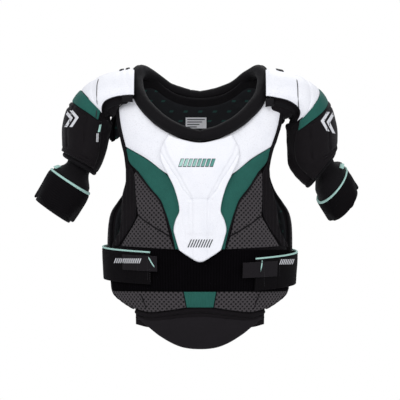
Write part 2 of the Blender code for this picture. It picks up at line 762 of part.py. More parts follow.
def make_cap(side_name, pivot):
    """The moulded cap: white shell, plastic insert, padded base and webbing."""
    shell = cap_edges(CAP_FRONT[side_name], 0)
    base = cap_edges(FLANGE_EDGE[side_name], FLANGE_BACK)
    flange = flange_place(side_name)
    insert = rectangle(CAP_INSERT_STATIONS, CAP_INSERT_ANGLES)
    front = rectangle(WEBBING_STATIONS, FRONT_WEBBING_ANGLES[side_name])
    back = rectangle(WEBBING_STATIONS, BACK_WEBBING_ANGLES)
    add_arm_patch("cap_shell", side_name, shell, SHELL, "white_shell", pivot, (14, 4))
    add_arm_patch("cap_insert", side_name, insert, CAP_INSERT, "stiff_plastic", pivot, (9, 2))
    add_arm_patch("cap_base", side_name, base, CAP_BASE, "black_cloth", pivot, (18, 6), flange)
    cloth = "black_cloth"
    add_arm_patch("front_webbing", side_name, front, FRONT_WEBBING, cloth, pivot, (4, 2), flange)
    add_arm_patch("back_webbing", side_name, back, WEBBING, cloth, pivot, (2, 1))


def top_panel_edges():
    """The white panel between the cap's split and the stripe."""
    line = split_line(*TOP_PANEL_ANGLES, SPLIT_GAP)
    most = STRIPE_STATIONS[0] - STRIPE_GAP
    low = [(min(station, most - TOP_PANEL_LEAST), angle) for station, angle in line]
    high = [(most, angle) for _, angle in line]
    return low, high, (low[0], high[0]), (low[-1], high[-1])


def stripe_edges():
    """The stripe, whose upper edge runs down a little at both ends."""
    near, far = TOP_PANEL_ANGLES
    start, end = ((STRIPE_END_STATION, angle) for angle in STRIPE_ANGLES)
    bend, bend_angle = STRIPE_BEND
    low = [(STRIPE_STATIONS[0], angle) for angle in (near, 0, far)]
    low = [start, (bend, -bend_angle), *low, (bend, bend_angle), end]
    high = [(STRIPE_STATIONS[1], angle) for angle in (STRIPE_ANGLES[0], 0, STRIPE_ANGLES[1])]
    return low, high, (start, high[0]), (end, high[-1])


def make_guard(side_name, pivot):
    """The bicep guard: white top, green stripe and black shell over a padded base."""
    panel, stripe = top_panel_edges(), stripe_edges()
    add_arm_patch("arm_top_panel", side_name, panel, SHELL, "white_shell", pivot, (10, 1))
    add_arm_patch("arm_stripe", side_name, stripe, SHELL, "green_panel", pivot, (12, 1))
    front, back = GUARD_FRONT_ANGLES, GUARD_BACK_ANGLE
    high = [(GUARD_TOP_STATION, angle) for angle in (front[0], 0, back)]
    low = list(zip(GUARD_LOW_STATIONS[side_name], (front[1], 0, back)))
    shell = (high, low, (high[0], low[0]), (high[-1], low[-1]))
    add_arm_patch("arm_guard_shell", side_name, shell, SHELL, "black_cloth", pivot, (13, 6))
    front = BASE_FRONT_ANGLES[side_name]
    high = split_line(front[0], BASE_BACK_ANGLE, SPLIT_GAP, BASE_SPLIT_SPREAD)
    low = list(zip(BASE_LOW_STATIONS[side_name], (front[1], 0, BASE_BACK_ANGLE)))
    edge = (high[0], (BASE_FULL_STATION, front[1]), low[0])
    base = (high, low, edge, (high[-1], low[-1]))
    flange = flange_place(side_name)
    add_arm_patch("arm_base", side_name, base, ARM_BASE, "black_cloth", pivot, (18, 9), flange)


def make_sleeve(side_name, pivot):
    """The elastic sleeve, its cuff, the cuff's mint edge and the loop at its top."""
    sleeve = sleeve_place(side_name)
    place = arm_place(side_name)
    add_ring("arm_sleeve_" + side_name, sleeve, SLEEVE_STATIONS, SLEEVE, "elastic", pivot, rings=9)
    start, stop = CUFF_STATIONS[side_name]
    add_ring("arm_cuff_" + side_name, place, (start, stop), CUFF, "elastic", pivot, rings=3)
    edge = (start - PIPING_STATIONS - PIPING_SEAM, start - PIPING_SEAM)
    add_ring("cuff_piping_" + side_name, place, edge, CUFF, "mint_trim", pivot)
    loop = rectangle(LOOP_STATIONS, LOOP_ANGLES)
    carried = {"pivot": pivot, "counts": (2, 1)}
    add_sheet("sleeve_loop_" + side_name, loop, sleeve, SLEEVE_LOOP, "mint_trim", **carried)


def make_cuff_strap(side_name, parent):
    """The hook-and-loop end that closes the cuff at the back of the arm."""
    start, stop = CUFF_STATIONS[side_name]
    stations = (start + CUFF_STRAP_INSET, stop - CUFF_STRAP_INSET)
    hinge = arm_point(side_name, sum(stations) / 2, CUFF_STRAP_ANGLES[1], CUFF_STRAP[0])
    pivot = add_pivot("cuff_pivot_" + side_name, hinge, parent)
    strap = rectangle(stations, CUFF_STRAP_ANGLES)
    add_arm_patch("cuff_strap", side_name, strap, CUFF_STRAP, "elastic", pivot, (5, 2))


def make_arm(side_name, side):
    x, y, z = CAP_PIVOT
    cap_pivot = add_pivot("cap_pivot_" + side_name, (side * x, y, z))
    fold = arm_point(side_name, CAP_SPLIT_STATION + SPLIT_GAP / 2, 0, 0)
    arm_pivot = add_pivot("arm_pivot_" + side_name, fold, cap_pivot)
    make_shoulder_pad(side_name)
    make_cap(side_name, cap_pivot)
    make_guard(side_name, arm_pivot)
    make_sleeve(side_name, arm_pivot)
    make_cuff_strap(side_name, arm_pivot)


def main():
    clear_scene()
    make_front_core()
    make_belly()
    make_flap()
    make_sternum_plate()
    make_neck_roll()
    make_back()
    for side_name, side in SIDES:
        make_chest(side_name, side)
        make_front_sides(side_name, side)
        make_hem_mesh(side_name, side)
        make_strap(side_name, side)
        make_arm(side_name, side)


main()
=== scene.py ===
"""Hockey shoulder pads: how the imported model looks.

Every soft piece is made again over its CAD node as shaped, sewn and padded cloth, and
rides on that node's body. The front faces -Y, X runs across the shoulders, +Z is up, and
left and right are as seen from the front. Design sizes are in millimetres and every mesh
is made in metres. Outlines are given for the +X side; side is +1 there, -1 on the other.
"""

import math

import bmesh
import bpy
from mathutils import Matrix, Vector, noise
from mathutils.bvhtree import BVHTree


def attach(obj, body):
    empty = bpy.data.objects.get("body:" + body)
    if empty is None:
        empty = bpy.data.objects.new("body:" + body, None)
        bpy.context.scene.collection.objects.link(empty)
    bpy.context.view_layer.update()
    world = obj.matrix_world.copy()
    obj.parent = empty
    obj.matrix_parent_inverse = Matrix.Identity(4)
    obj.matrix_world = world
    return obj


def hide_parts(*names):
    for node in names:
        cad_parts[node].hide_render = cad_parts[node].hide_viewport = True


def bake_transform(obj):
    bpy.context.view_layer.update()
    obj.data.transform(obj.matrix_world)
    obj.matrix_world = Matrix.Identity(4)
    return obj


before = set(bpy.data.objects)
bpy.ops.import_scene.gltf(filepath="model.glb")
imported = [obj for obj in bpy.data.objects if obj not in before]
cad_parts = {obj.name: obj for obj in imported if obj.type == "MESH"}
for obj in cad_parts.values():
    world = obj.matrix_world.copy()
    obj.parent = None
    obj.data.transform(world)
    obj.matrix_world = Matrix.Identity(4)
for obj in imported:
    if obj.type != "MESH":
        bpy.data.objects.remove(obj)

MILLIMETRE = 0.001
SIDES = (("left", -1), ("right", 1))
FLAT = (1.0, 1.0)

# How sheets and tubes are made
RIM_STEPS = (0.0, 0.12, 0.35, 0.65)  # where the lines of a rounded rim lie, as shares of it
MOST_RIM = 0.3  # the most of a side that one rim takes
RIM_SHARE = 0.8  # a rim's width as a share of the sheet's thickness
LEAST_FULLNESS = 0.22
TOUCH = 1e-4
MERGE = 1e-6
TANGENT_STEP = 0.5
SHARP_ANGLE = 50.0
PUFF_FRAMES = 20
PUFF_QUALITY = 4
PUFF_STIFFNESS = 12.0
LEAST_HOLD = 0.05  # a seam that holds the cloth less than this leaves it free
FRONT_START = -400.0
PRINT_DEPTH = 0.5
MISSED_DEPTH = -50.0  # where a thread that runs past its piece looks for the nearest cloth
STITCH_PITCH = 3.6
ARM_STATIONS = 12

# Studio
CAMERA_DISTANCE = 9.0
FRAME_WIDTH = 0.74  # how much of the scene the camera sees across, in metres
VIEW_DEPTH, VIEW_HEIGHT = -0.035, -0.185  # the middle of the view, in metres
FLOOR_HEIGHT = -0.62
FLOOR_SIZE = 1.25
SENSOR_WIDTH = 36.0
WORLD_LIGHT = 0.72
LAMPS = (
    ("key", (-1.5, -3.2, 2.2), 2.2, 62.0),
    ("fill", (2.4, -2.8, 0.9), 2.4, 30.0),
    ("rim", (0.3, 2.6, 2.4), 2.0, 40.0),
)

# Sewn details and marks: across, height; or, for caps, station and angle
MESH_PITCH = (9.4, 8.6)
PLATE_BEVEL = 3.2
PLATE_GROOVE = ((76, -92), (64.8, -111), (53.7, -129.5), (40.7, -148), (31.5, -166.5), (14.8, -185))
PLATE_FIELD = ((66, -80), (60, -100), (47, -122), (36, -141), (26, -160), (14.8, -178), (13, -192))
PLATE_STEP = -183.0
PLATE_FACET = -246.0
PLATE_LOW_EDGE = ((35, -200), (33.3, -225), (29.6, -240), (26, -259))
PLATE_MARK = ((-38.9, -110.1), (31.5, -123))
PLATE_LOW_MARK = ((-23.1, -257.2), (26.8, -271.9))
BACK_CHANNELS = (
    ((30, -70), (120, -40)),
    ((30, -120), (125, -105)),
    ((30, -175), (140, -190)),
    ((30, -235), (165, -265)),
    ((30, -300), (165, -330)),
    ((34, -60), (34, -330)),
)
FLAP_RIDGE = ((0, -396.5), (50, -401), (93, -405.5), (121, -401))
GUSSET_RISE, GUSSET_DROP = 12.0, 18.0  # how far the strip reaches above and below the flap's top
GUSSET_BENDS = (4.0, -10.0)  # where it starts to bend and where it lies on the flap
VISIBLE_FLAP_TOP = ((0, -392.5), (50, -397.5), (93, -402.5), (121, -397))
FLAP_SEAM = ((-53.7, -401.5), (-53.7, -450.5))
NECK_STRIP_RISES = (12.0, 12.0, 14.0, 19.0, 22.0)
HEM_CHANNEL = ((111, -353.5), (104, -370), (97, -389))
ROLL_SPARE = 0.8
CAP_WELTS = {
    "left": (
        ((-142.5, 57.4), (-141.5, 29.6), (-142.5, 5.6)),
        ((-131.3, 55.5), (-130.4, 33.3), (-129.5, 14.8)),
    ),
    "right": (
        ((140.6, 57.4), (141.5, 29.6), (141.5, 3.7)),
        ((130.4, 55.5), (129.5, 33.3), (129.5, 11.1)),
    ),
}
GUARD_SEAMS = {
    "left": (((-189.4, -9.2), (-190.6, -20.4), (-192.4, -35.1)),),
    "right": (((181.3, -21.3), (182.8, -37), (184.1, -51.8)),),
}
GUARD_LOW_ROWS = (0.22, 0.5)
GUARD_SIDE_ANGLES = (-84.0, -38.0, 38.0)
GUARD_MARKS = {
    "left": (
        ((-251.6, -22.2), (-246.1, -20.4), (-235, -33.3), (-246.1, -50), (-251.6, -50), (-241.4, -34.2)),
        ((-241.4, -19.4), (-235.9, -18.5), (-223.9, -32.4), (-235.9, -50), (-241.4, -50), (-230.3, -33.3)),
    ),
    "right": (
        ((240.5, -22.2), (235, -21.3), (222.9, -38.9), (234, -57.4), (239.6, -58.3), (229.4, -39.8)),
        ((250.7, -24.1), (245.1, -23.1), (234, -40.7), (245.1, -61.1), (250.7, -62), (240.5, -41.6)),
    ),
}
CHEST_ROWS = (
    ((24, -148), (60, -133), (97, -105.5), (128, -88)),
    ((40, -75.5), (80, -53), (99, -34), (115.5, -14)),
)
STRAP_MARKS = {
    "left": ((-159.1, -292.3), (-105.5, -301.2), 13),
    "right": ((146.2, -294.2), (176.7, -303.8), 8),
}
STRAP_SLASH = {
    "left": ((-95.3, -288.6), (-89.7, -298.8), (-83.2, -308.9)),
    "right": ((114.7, -294.2), (112.9, -307.1), (111, -318.2)),
}
STRAP_ENDS = {
    "left": (
        ((-97.1, -288.6), (-96.2, -333)),
        ((-92.5, -310.8), (-91.6, -334.9)),
        ((-116.6, -286.8), (-114.7, -314.5)),
    ),
    "right": (
        ((117.5, -294.2), (118.4, -344.1)),
        ((146.2, -292.3), (147.1, -325.6)),
    ),
}
STRIPE_FRONT = {"left": (-108.0, 2.76, 3.85), "right": (-114.0, 2.95, 4.15)}
BASE_TOP_ANGLE = -140.0
SLEEVE_LABEL = ((-185.7, -46.2), (-181.7, -45.5), (-184.6, -59.2), (-188.7, -59.9))
DOT_LABEL = ((-191.7, -62), (-186.5, -77.7))
BASE_FRONT = {  # how far the black base wraps round the front of the arm to the armpit
    "left": ((0, -101), (0.5, -109), (0.75, -122), (1.0, -150), (1.6, -174), (2.3, -180), (2.85, -184)),
    "right": ((0, -120), (0.5, -158), (0.8, -170), (1.6, -180), (2.3, -184), (2.85, -184)),
}
CAP_SEAM = {
    "left": ((-187.6, 38.9), (-189.8, 29.6), (-190.4, 14.8), (-190.4, 1.9), (-189.1, -10.2)),
    "right": ((178.7, 37.9), (180, 25.9), (180.4, 7.4), (181.3, -9.2), (182.4, -20.4)),
}
TAB_SPOTS = {"left": ((-0.35, 0.42), (-99.0, -86.0)), "right": ((-0.5, 0.12), (-108.0, -92.0))}
NECK_STATION = -0.45
FLANGE_SHOWN = 13.0  # how far the black flange shows beyond the white shell, degrees
FLANGE_GROWTH = 0.3  # how much further it shows for each station down
TOP_WEBBING = {
    "left": (((0.3, 0.58), (-16, 4)), ((-0.06, 0.2), (-14, 6))),
    "right": (((0.28, 0.72), (-16, 4)),),
}
LABEL = ((-26.8, -30.5), (12, -30.5), (12, -50.9), (-26.8, -50.9))


# Torso form, outermost cloth surface: height, half width, front depth, back depth
TORSO_FORM = (
    (-465, 150, 98, 94),
    (-390, 166, 109, 100),
    (-345, 172, 114, 102),
    (-260, 176, 117, 103),
    (-205, 172, 118, 104),
    (-150, 166, 116, 104),
    (-110, 170, 112, 103),
    (-75, 178, 105, 100),
    (-35, 186, 94, 94),
    (0, 186, 82, 84),
    (40, 170, 66, 72),
    (75, 150, 50, 60),
)
GIRTH_RADIUS = 170.0  # turns an angle round the torso into millimetres of girth

# Arm forms: station, distance out, height, tilt of the section (degrees from
# horizontal), half thickness, half depth. Station 0 is at the neck, 12 at the cuff.
ARM_FORMS = {
    "left": (
        (0, 131.5, 4, 90, 54, 80),
        (1, 159, 4, 85, 47.5, 77),
        (2, 181, 0, 64, 42, 70),
        (3, 194, -15, 37, 43.5, 62),
        (4, 202.5, -33, 20, 46, 57),
        (5, 207.5, -55, 10, 47, 54),
        (6, 210, -77, 8, 44.5, 52),
        (7, 213.5, -97, 14, 42.5, 50),
        (8, 222, -117, 24, 41, 47),
        (9, 235, -140, 31, 38, 45),
        (10, 248, -163, 35, 41, 45),
        (11, 261, -185, 35, 40, 44),
        (12, 275, -207, 35, 38, 43),
    ),
    "right": (
        (0, 131.5, 4, 90, 54, 80),
        (1, 159, 4, 85, 47.5, 77),
        (2, 181, 0, 64, 42, 71),
        (3, 193, -14, 37, 44.5, 64),
        (4, 200, -33, 20, 47, 60),
        (5, 204, -55, 10, 49, 57),
        (6, 205, -78, 8, 49, 55),
        (7, 209, -100, 18, 47, 53),
        (8, 227, -122, 38, 42, 49),
        (9, 238, -140, 48, 37, 46),
        (10, 246, -159, 52, 38, 45),
        (11, 257, -177, 52, 38, 45),
        (12, 269, -195, 52, 36, 44),
    ),
}
ARM_PITCH = {"left": 2.0, "right": 16.0}  # how far the front of each arm dips, degrees
ARM_TURN = {"left": 0.0, "right": 12.0}  # how far each arm is turned inwards, degrees
FULL_TURN_STATION = 3.0  # the pitch and the turn grow from nothing at the neck to here

# Layers, as distances out from the torso or arm form
CORE = (-18.0, -5.2)  # the foam and its lining as one pad
COVER = (-4.0, 0.0)
BACK_COVER = (-5.4, -0.6)
CHEST = (-5.2, 0.0)
CHEST_BAND = (-5.2, 0.2)
NECK_STRIP = (-17.0, -8.0)
HEM_BACKING = (-12.0, -4.8)
FLAP_GUSSET = (-9.5, -3.6)
BELLY_BAND = (-4.0, 0.5)
STERNUM_PLATE = (2.0, 8.0)
SPINE_GUARD = (-1.0, 7.4)
STRAP = (1.6, 6.0)
STRAP_PIPING = (2.4, 6.2)
STRAP_TAB = (5.4, 8.8)
FLAP = (-12.0, 0.0)
SHELL = (-3.0, 0.0)
ARM_PANEL = (-4.4, 0.2)
STRIPE = (-4.4, 0.4)
GUARD = (-4.6, 0.6)
SPLIT_GUSSET = (-6.0, -1.3)
FLANGE_GUSSET = (-13.0, -6.6)
CAP_BASE = (-14.6, -8.2)
SHOULDER_PAD = (-23.0, -16.0)
ARM_BASE = (-13.0, -5.4)
SLEEVE = (-2.5, 0.0)
CUFF = (-0.4, 4.2)
CUFF_PIPING = (0.2, 4.4)
CUFF_STRAP = (4.9, 8.0)
FRONT_TAB = (-4.0, 1.6)
TOP_TAB = (-0.6, 3.4)
BACK_TAB = (-0.6, 3.2)
SLEEVE_LOOP = (0.2, 3.9)

# Neck roll, from the front centre to the back centre: across, depth, height, radius
NECK_ROLL = (
    (0, -105, -67, 9.0),
    (37, -101, -58, 11.0),
    (74, -88, -37, 11.8),
    (107, -62, -2, 12.0),
    (118, -22, 32, 11.8),
    (112, 14, 54, 11.5),
    (90, 50, 46, 10.8),
    (56, 74, 23, 10.2),
    (0, 84, 9, 10.5),
)

# How far the soft waist lies out of true on each side, most at one height
WAIST_PUSH = {-1: 6.0, 1: -5.0}
WAIST_HEIGHT = -130.0
WAIST_SPREAD = 62.0
WAIST_REACH = 140.0  # the distance across at which the push is whole

# Outlines: across, height
NECK_EDGE = ((0, -78.5), (40, -70.5), (83, -47.5), (102, -29.5), (118.5, -9.5), (126, 3))
SHOULDER_EDGE = ((126, 3), (154, -13))
FRONT_EDGE = (
    (123, -384),
    (148, -369),
    (165, -352),
    (170, -318),
    (166, -274),
    (149, -242),
    (145, -215),
    (140, -175),
    (131, -143),
    (131, -122),
    (137, -92),
    (146, -61),
    (154, -13),
)
FRONT_HEM = ((0, -382), (50, -386.5), (93, -391), (123, -384))
CHEST_BOTTOM = ((20, -152), (60, -137), (97, -109), (134, -87))
BAND_INNER = (
    (32, -275.5),
    (38, -240),
    (31, -202),
    (40, -172),
    (56, -144),
    (97, -110.6),
    (132, -89.2),
)
BAND_OUTER = (
    (46, -275.5),
    (55.5, -237),
    (65, -207),
    (74, -185),
    (92.5, -162),
    (114.5, -130),
    (127.5, -114.5),
    (132.6, -92),
)
SEAM_GAP = 1.4
CHANNEL = ((56, -251), (92.5, -229), (113.5, -213))
MESH_APEX = (115.5, -133.5)
MESH_UPPER_SIDE = ((116.8, -170), (117.6, -137))
MESH_LOWER_SIDE = (128.5, -241)
MESH_BOTTOM = ((48, -275.5), (146, -270))
SIDE_INNER = ((151, -269), (131, -240), (117.5, -211), (118.5, -170), (119.5, -136), (129, -118))
SIDE_OUTER = ((164, -271.5), (149, -242), (145, -215), (140, -175), (131, -143), (131.5, -121))
BAND_HEIGHTS = (-352.0, -277.0)
BAND_REACH = 162.0
INSERT_HALF_WIDTHS = (24.5, 30.0)
HEM_TOP = -353.6
HEM_BOTTOM = -382.5
HEM_REACH = 162.0
HEM_SIDE = (147, -369)
RIDGE = ((0, -388), (50, -393), (93, -398), (123, -390))
FLAP_BOTTOM = ((0, -460), (37, -455.5), (74, -437), (104, -412))
PLATE_TOP = ((0, -80.5), (40, -72.5), (57, -65))
PLATE_EDGE = (
    (38, -277),
    (44.5, -255),
    (48, -239),
    (44.5, -222),
    (37.5, -203),
    (46, -165),
    (60, -135),
    (70, -115),
    (73, -100),
    (70, -86),
    (57, -65),
)
PLATE_TIP = ((0, -299), (24, -287), (38, -277))
BACK_TOP = ((0, -3.5), (38, 1.5), (63, 12), (92, 31), (114, 28), (130, 8), (154, -12))
BACK_EDGE = (
    (120, -386),
    (146, -370),
    (163, -352),
    (169, -320),
    (172, -250),
    (168, -215),
    (155, -190),
    (143, -172),
    (132, -145),
    (130, -115),
)
BACK_WINGS = {
    "left": ((141, -76), (153, -61), (168, -74), (169, -45), (154, -12)),
    "right": ((134, -74), (149, -46), (160, -34), (154, -12)),
}
BACK_HEM = ((0, -386), (120, -386))
SPINE_HALF_WIDTH = 26.0
SPINE_HEIGHTS = (-325.0, -55.0)

# Side straps: angle round the torso of the free and the sewn end, edges at each end
STRAP_ANGLES = {"left": (31.0, 108.0), "right": (35.0, 108.0)}
STRAP_TOPS = {"left": (-282.0, -270.0), "right": (-294.0, -278.0)}
STRAP_HEIGHT = 58.0
PIPING_WIDTH = 3.2
TAB_ANGLES = (26.0, 52.0)
TAB_DROP = 6.0
TAB_HEIGHT = 28.0
TAB_RISE = 3.0

# Caps and guards: station and angle round the arm, where 0 is the top or outer side
# and negative angles are to the front
CAP_FRONT = {
    "left": ((0, -84), (0.8, -88), (1.6, -95), (2.3, -105), (2.85, -113)),
    "right": ((0, -86), (0.8, -94), (1.6, -106), (2.3, -120), (2.85, -136)),
}
SHELL_FRONT = {  # as the white shell shows
    "left": CAP_FRONT["left"],
    "right": ((0, -86), (0.8, -93), (1.6, -103), (2.3, -114), (2.85, -125)),
}
CAP_BACK = ((0, 92), (1.6, 98), (2.85, 108))
CAP_NECK_ANGLES = (-40, 0, 40)
CAP_SPLIT_STATION = 1.8
CAP_SPLIT_SPREAD = 1.05  # how many stations further down the split is at the front edge
BASE_SPLIT_SPREAD = 1.35  # the same for the guard's base, which is cut back further
CAP_SPLIT_ANGLE = 110.0  # the angle from which the split runs no further down
CAP_SPLIT_STEPS = 8
SPLIT_GAP = 0.14
FLANGE_BACK = 6.0  # how far the base stands out at the back, degrees
FLARE = {"left": 5.0, "right": 8.0}
FLARE_ANGLES = (4.0, 24.0)  # beyond the shell's edge, where the flare starts and is full
FLARE_STATIONS = (3.0, 4.8)  # the flare fades out between these stations
LOW_FLARE = {"left": 0.0, "right": 12.0}  # how far the flange opens out again at its foot
LOW_FLARE_STATIONS = (6.0, 7.8)
LOW_FLARE_ANGLES = (134.0, 160.0)
SHOULDER_PAD_STATIONS = (0.02, 1.3)
SHOULDER_PAD_ANGLES = (-80.0, 80.0)
STRIPE_STATIONS = (2.72, 3.46)
STRIPE_ANGLES = (-120.0, 112.0)
STRIPE_END_STATION = 2.98  # the stripe runs down a little at its ends
STRIPE_GAP = 0.04
TOP_PANEL_ANGLES = (-86.0, 86.0)
TOP_PANEL_LEAST = 0.08
GUARD_TOP_STATION = 3.5
GUARD_LOW_STATIONS = {"left": (7.9, 7.5, 7.5), "right": (8.0, 7.1, 7.1)}
GUARD_FRONT_ANGLES = (-120.0, -131.0)
GUARD_BACK_ANGLE = 112.0
BASE_FRONT_ANGLES = {"left": (-162.0, -172.0), "right": (-166.0, -175.0)}
BASE_BACK_ANGLE = 124.0
BASE_LOW_STATIONS = {"left": (8.2, 7.8, 7.7), "right": (8.3, 7.3, 7.3)}
BASE_FULL_STATION = 5.0  # from here down the base's front edge keeps its angle
SLEEVE_STATIONS = (6.4, 11.95)
SLEEVE_TAPER = 17.0  # how much smaller the sleeve is inside the guard
SLEEVE_TAPER_STATIONS = (8.3, 9.3)
CUFF_STATIONS = {"left": (9.55, 11.7), "right": (10.0, 11.8)}
PIPING_STATIONS = 0.15
PIPING_SEAM = 0.03
CUFF_STRAP_ANGLES = (25.0, 110.0)
CUFF_STRAP_INSET = 0.3
LOOP_STATIONS = (8.85, 9.2)
LOOP_ANGLES = (-30.0, -8.0)
WEBBING_STATIONS = (0.06, 0.5)
BACK_WEBBING_ANGLES = (14.0, 40.0)
ARM_LENGTHS = (22.0, 0.8)  # about how long a station and a degree are on an arm


def smooth_row(rows, key):
    """The values at a key, on a smooth curve through rows sorted by their first value."""
    key = min(max(key, rows[0][0]), rows[-1][0])
    index = 0
    while index < len(rows) - 2 and key > rows[index + 1][0]:
        index += 1
    low, high = rows[index], rows[index + 1]
    before = rows[max(index - 1, 0)]
    after = rows[min(index + 2, len(rows) - 1)]
    width = high[0] - low[0]
    share = (key - low[0]) / width
    values = []
    for column in range(1, len(low)):
        leave = (high[column] - before[column]) / (high[0] - before[0]) * width
        arrive = (after[column] - low[column]) / (after[0] - low[0]) * width
        rise = high[column] - low[column]
        bend = 3 * rise - 2 * leave - arrive
        curl = leave + arrive - 2 * rise
        values.append(low[column] + share * (leave + share * (bend + share * curl)))
    return values


def measured(points, lengths=(1.0, 1.0)):
    """The points as rows, each led by the distance along them so far."""
    rows = [(0.0, *points[0])]
    for last, point in zip(points, points[1:]):
        steps = [(b - a) * length for a, b, length in zip(last, point, lengths)]
        rows.append((rows[-1][0] + math.hypot(*steps), *point))
    return rows


def mirrored(half):
    """A line across both sides, from its half that runs from the centre outwards."""
    return [(-x, z) for x, z in reversed(half[1:])] + list(half)


def torso_values(height):
    return smooth_row(TORSO_FORM, height)


def girth_of(across, height):
    """The way round the torso's form to a distance across it at a height."""
    return math.asin(across / torso_values(height)[0]) * GIRTH_RADIUS


def on_front(outline, side=1):
    """An outline of (across, height) as (girth, height) round the front."""
    spots = []
    for across, height in outline:
        across = across * side
        push = WAIST_PUSH[math.copysign(1, across)]
        push *= math.exp(-(((height - WAIST_HEIGHT) / WAIST_SPREAD) ** 2))
        across += push * (across / WAIST_REACH) ** 3
        spots.append((girth_of(across, height), height))
    return spots


def on_back(outline):
    return [(math.pi * GIRTH_RADIUS - girth_of(x, z), z) for x, z in outline]


def torso_place(spot, out):
    """The point in millimetres at a (girth, height) on the torso, so far out from it."""
    turn = spot[0] / GIRTH_RADIUS
    height = spot[1]
    deep = 1 if math.cos(turn) > 0 else 2
    values = torso_values(height)
    above = torso_values(height + 1)
    half, depth = values[0], values[deep]
    half_slope, depth_slope = above[0] - half, above[deep] - depth
    point = Vector((half * math.sin(turn), -depth * math.cos(turn), height))
    lean = half * depth_slope * math.cos(turn) ** 2 + depth * half_slope * math.sin(turn) ** 2
    normal = Vector((depth * math.sin(turn), -half * math.cos(turn), -lean))
    return point + normal.normalized() * out


def arm_frame(side_name, station):
    """The centre, outward, down-the-arm and front directions, and radii at a station."""
    out, height, tilt, thick, deep = smooth_row(ARM_FORMS[side_name], station)
    tilt = math.radians(tilt)
    grown = min(1.0, max(0.0, station) / FULL_TURN_STATION)
    pitch = math.radians(ARM_PITCH[side_name]) * grown
    outward = Vector((math.cos(tilt), 0, math.sin(tilt)))
    along = Vector((math.sin(tilt), 0, -math.cos(tilt)))
    front = Vector((0, -math.cos(pitch), 0)) + along * math.sin(pitch)
    turn = math.radians(ARM_TURN[side_name]) * grown
    return Vector((out, 0, height)), outward, along, front, thick, deep, turn


def arm_point(side_name, station, angle, out):
    """The point in millimetres at a station and angle (degrees) on an arm."""
    centre, outward, _, front, thick, deep, turn = arm_frame(side_name, station)
    angle = math.radians(angle) - turn * math.cos(math.radians(angle) / 2)
    across = outward * (thick + out) * math.cos(angle)
    point = centre + across - front * (deep + out) * math.sin(angle)
    if side_name == "left":
        point.x = -point.x
    return point


def arm_place(side_name):
    return lambda spot, out: arm_point(side_name, spot[0], spot[1], out)


def eased(value, start, stop):
    """A smooth step from 0 at the start to 1 at the stop."""
    share = min(1.0, max(0.0, (value - start) / (stop - start)))
    return share * share * (3 - 2 * share)


def flange_place(side_name):
    """The arm's surface, opened out beyond the front edge of the shell."""

    def place(spot, out):
        station, angle = spot
        edge = smooth_row(CAP_FRONT[side_name], station)[0]
        flare = FLARE[side_name] * eased(edge - angle, *FLARE_ANGLES)
        flare *= 1 - eased(station, *FLARE_STATIONS)
        low = eased(station, *LOW_FLARE_STATIONS) * eased(-angle, *LOW_FLARE_ANGLES)
        flare += LOW_FLARE[side_name] * low
        return arm_point(side_name, station, angle, out + flare)

    return place


def sleeve_place(side_name):
    """The arm's surface, drawn in where the sleeve passes under the guard."""

    def place(spot, out):
        drawn = SLEEVE_TAPER * (1 - eased(spot[0], *SLEEVE_TAPER_STATIONS))
        return arm_point(side_name, spot[0], spot[1], out - drawn)

    return place


def split_line(front_angle, back_angle, further=0.0, most=CAP_SPLIT_SPREAD):
    """The line between the cap and the guard, lower at its ends than at the top."""
    full = 1 - math.cos(math.radians(CAP_SPLIT_ANGLE))
    line = []
    for step in range(CAP_SPLIT_STEPS + 1):
        angle = front_angle + (back_angle - front_angle) * step / CAP_SPLIT_STEPS
        share = (1 - math.cos(math.radians(min(abs(angle), CAP_SPLIT_ANGLE)))) / full
        line.append((CAP_SPLIT_STATION + further + most * share, angle))
    return line


def cap_edges(front, flange):
    """The cap's four edges from its front edge, grown at the back by the flange."""
    front = list(front)
    back = [(station, angle + flange) for station, angle in CAP_BACK]
    low = [front[0], *((0, angle) for angle in CAP_NECK_ANGLES), back[0]]
    high = split_line(front[-1][1], back[-1][1])
    front[-1], back[-1] = high[0], high[-1]
    return low, high, front, back


def edges_between(low, high):
    """The four edges of a sheet from its low and high edges, with straight sides."""
    return low, high, (low[0], high[0]), (low[-1], high[-1])


def rectangle(stations, angles):
    """Four edges between two stations and two angles."""
    (start, stop), (near, far) = stations, angles
    return edges_between(((start, near), (start, far)), ((stop, near), (stop, far)))


def top_panel_edges():
    """The white panel between the cap's split and the stripe."""
    line = split_line(*TOP_PANEL_ANGLES, SPLIT_GAP)
    most = STRIPE_STATIONS[0] - STRIPE_GAP
    low = [(min(station, most - TOP_PANEL_LEAST), angle) for station, angle in line]
    high = [(most, angle) for _, angle in line]
    return edges_between(low, high)


def rim_shares(length, pitch, rim):
    """Shares along one side of a sheet, closer together where its rim is rounded."""
    rim = min(rim, length * MOST_RIM)
    steps = [rim * share for share in RIM_STEPS]
    count = max(1, round((length - 2 * rim) / pitch))
    middle = [rim + (length - 2 * rim) * step / count for step in range(count + 1)]
    ends = [length - step for step in reversed(steps)]
    return [at / length for at in steps + middle + ends]


def even_shares(length, pitch):
    count = max(2, round(length / pitch))
    return [step / count for step in range(count + 1)]


def roundness(distance, rim):
    """How full a sheet is at a distance from its edge: least at the edge, 1 inside."""
    left = 1 - min(1.0, distance / rim)
    return LEAST_FULLNESS + (1 - LEAST_FULLNESS) * math.sqrt(1 - left * left)


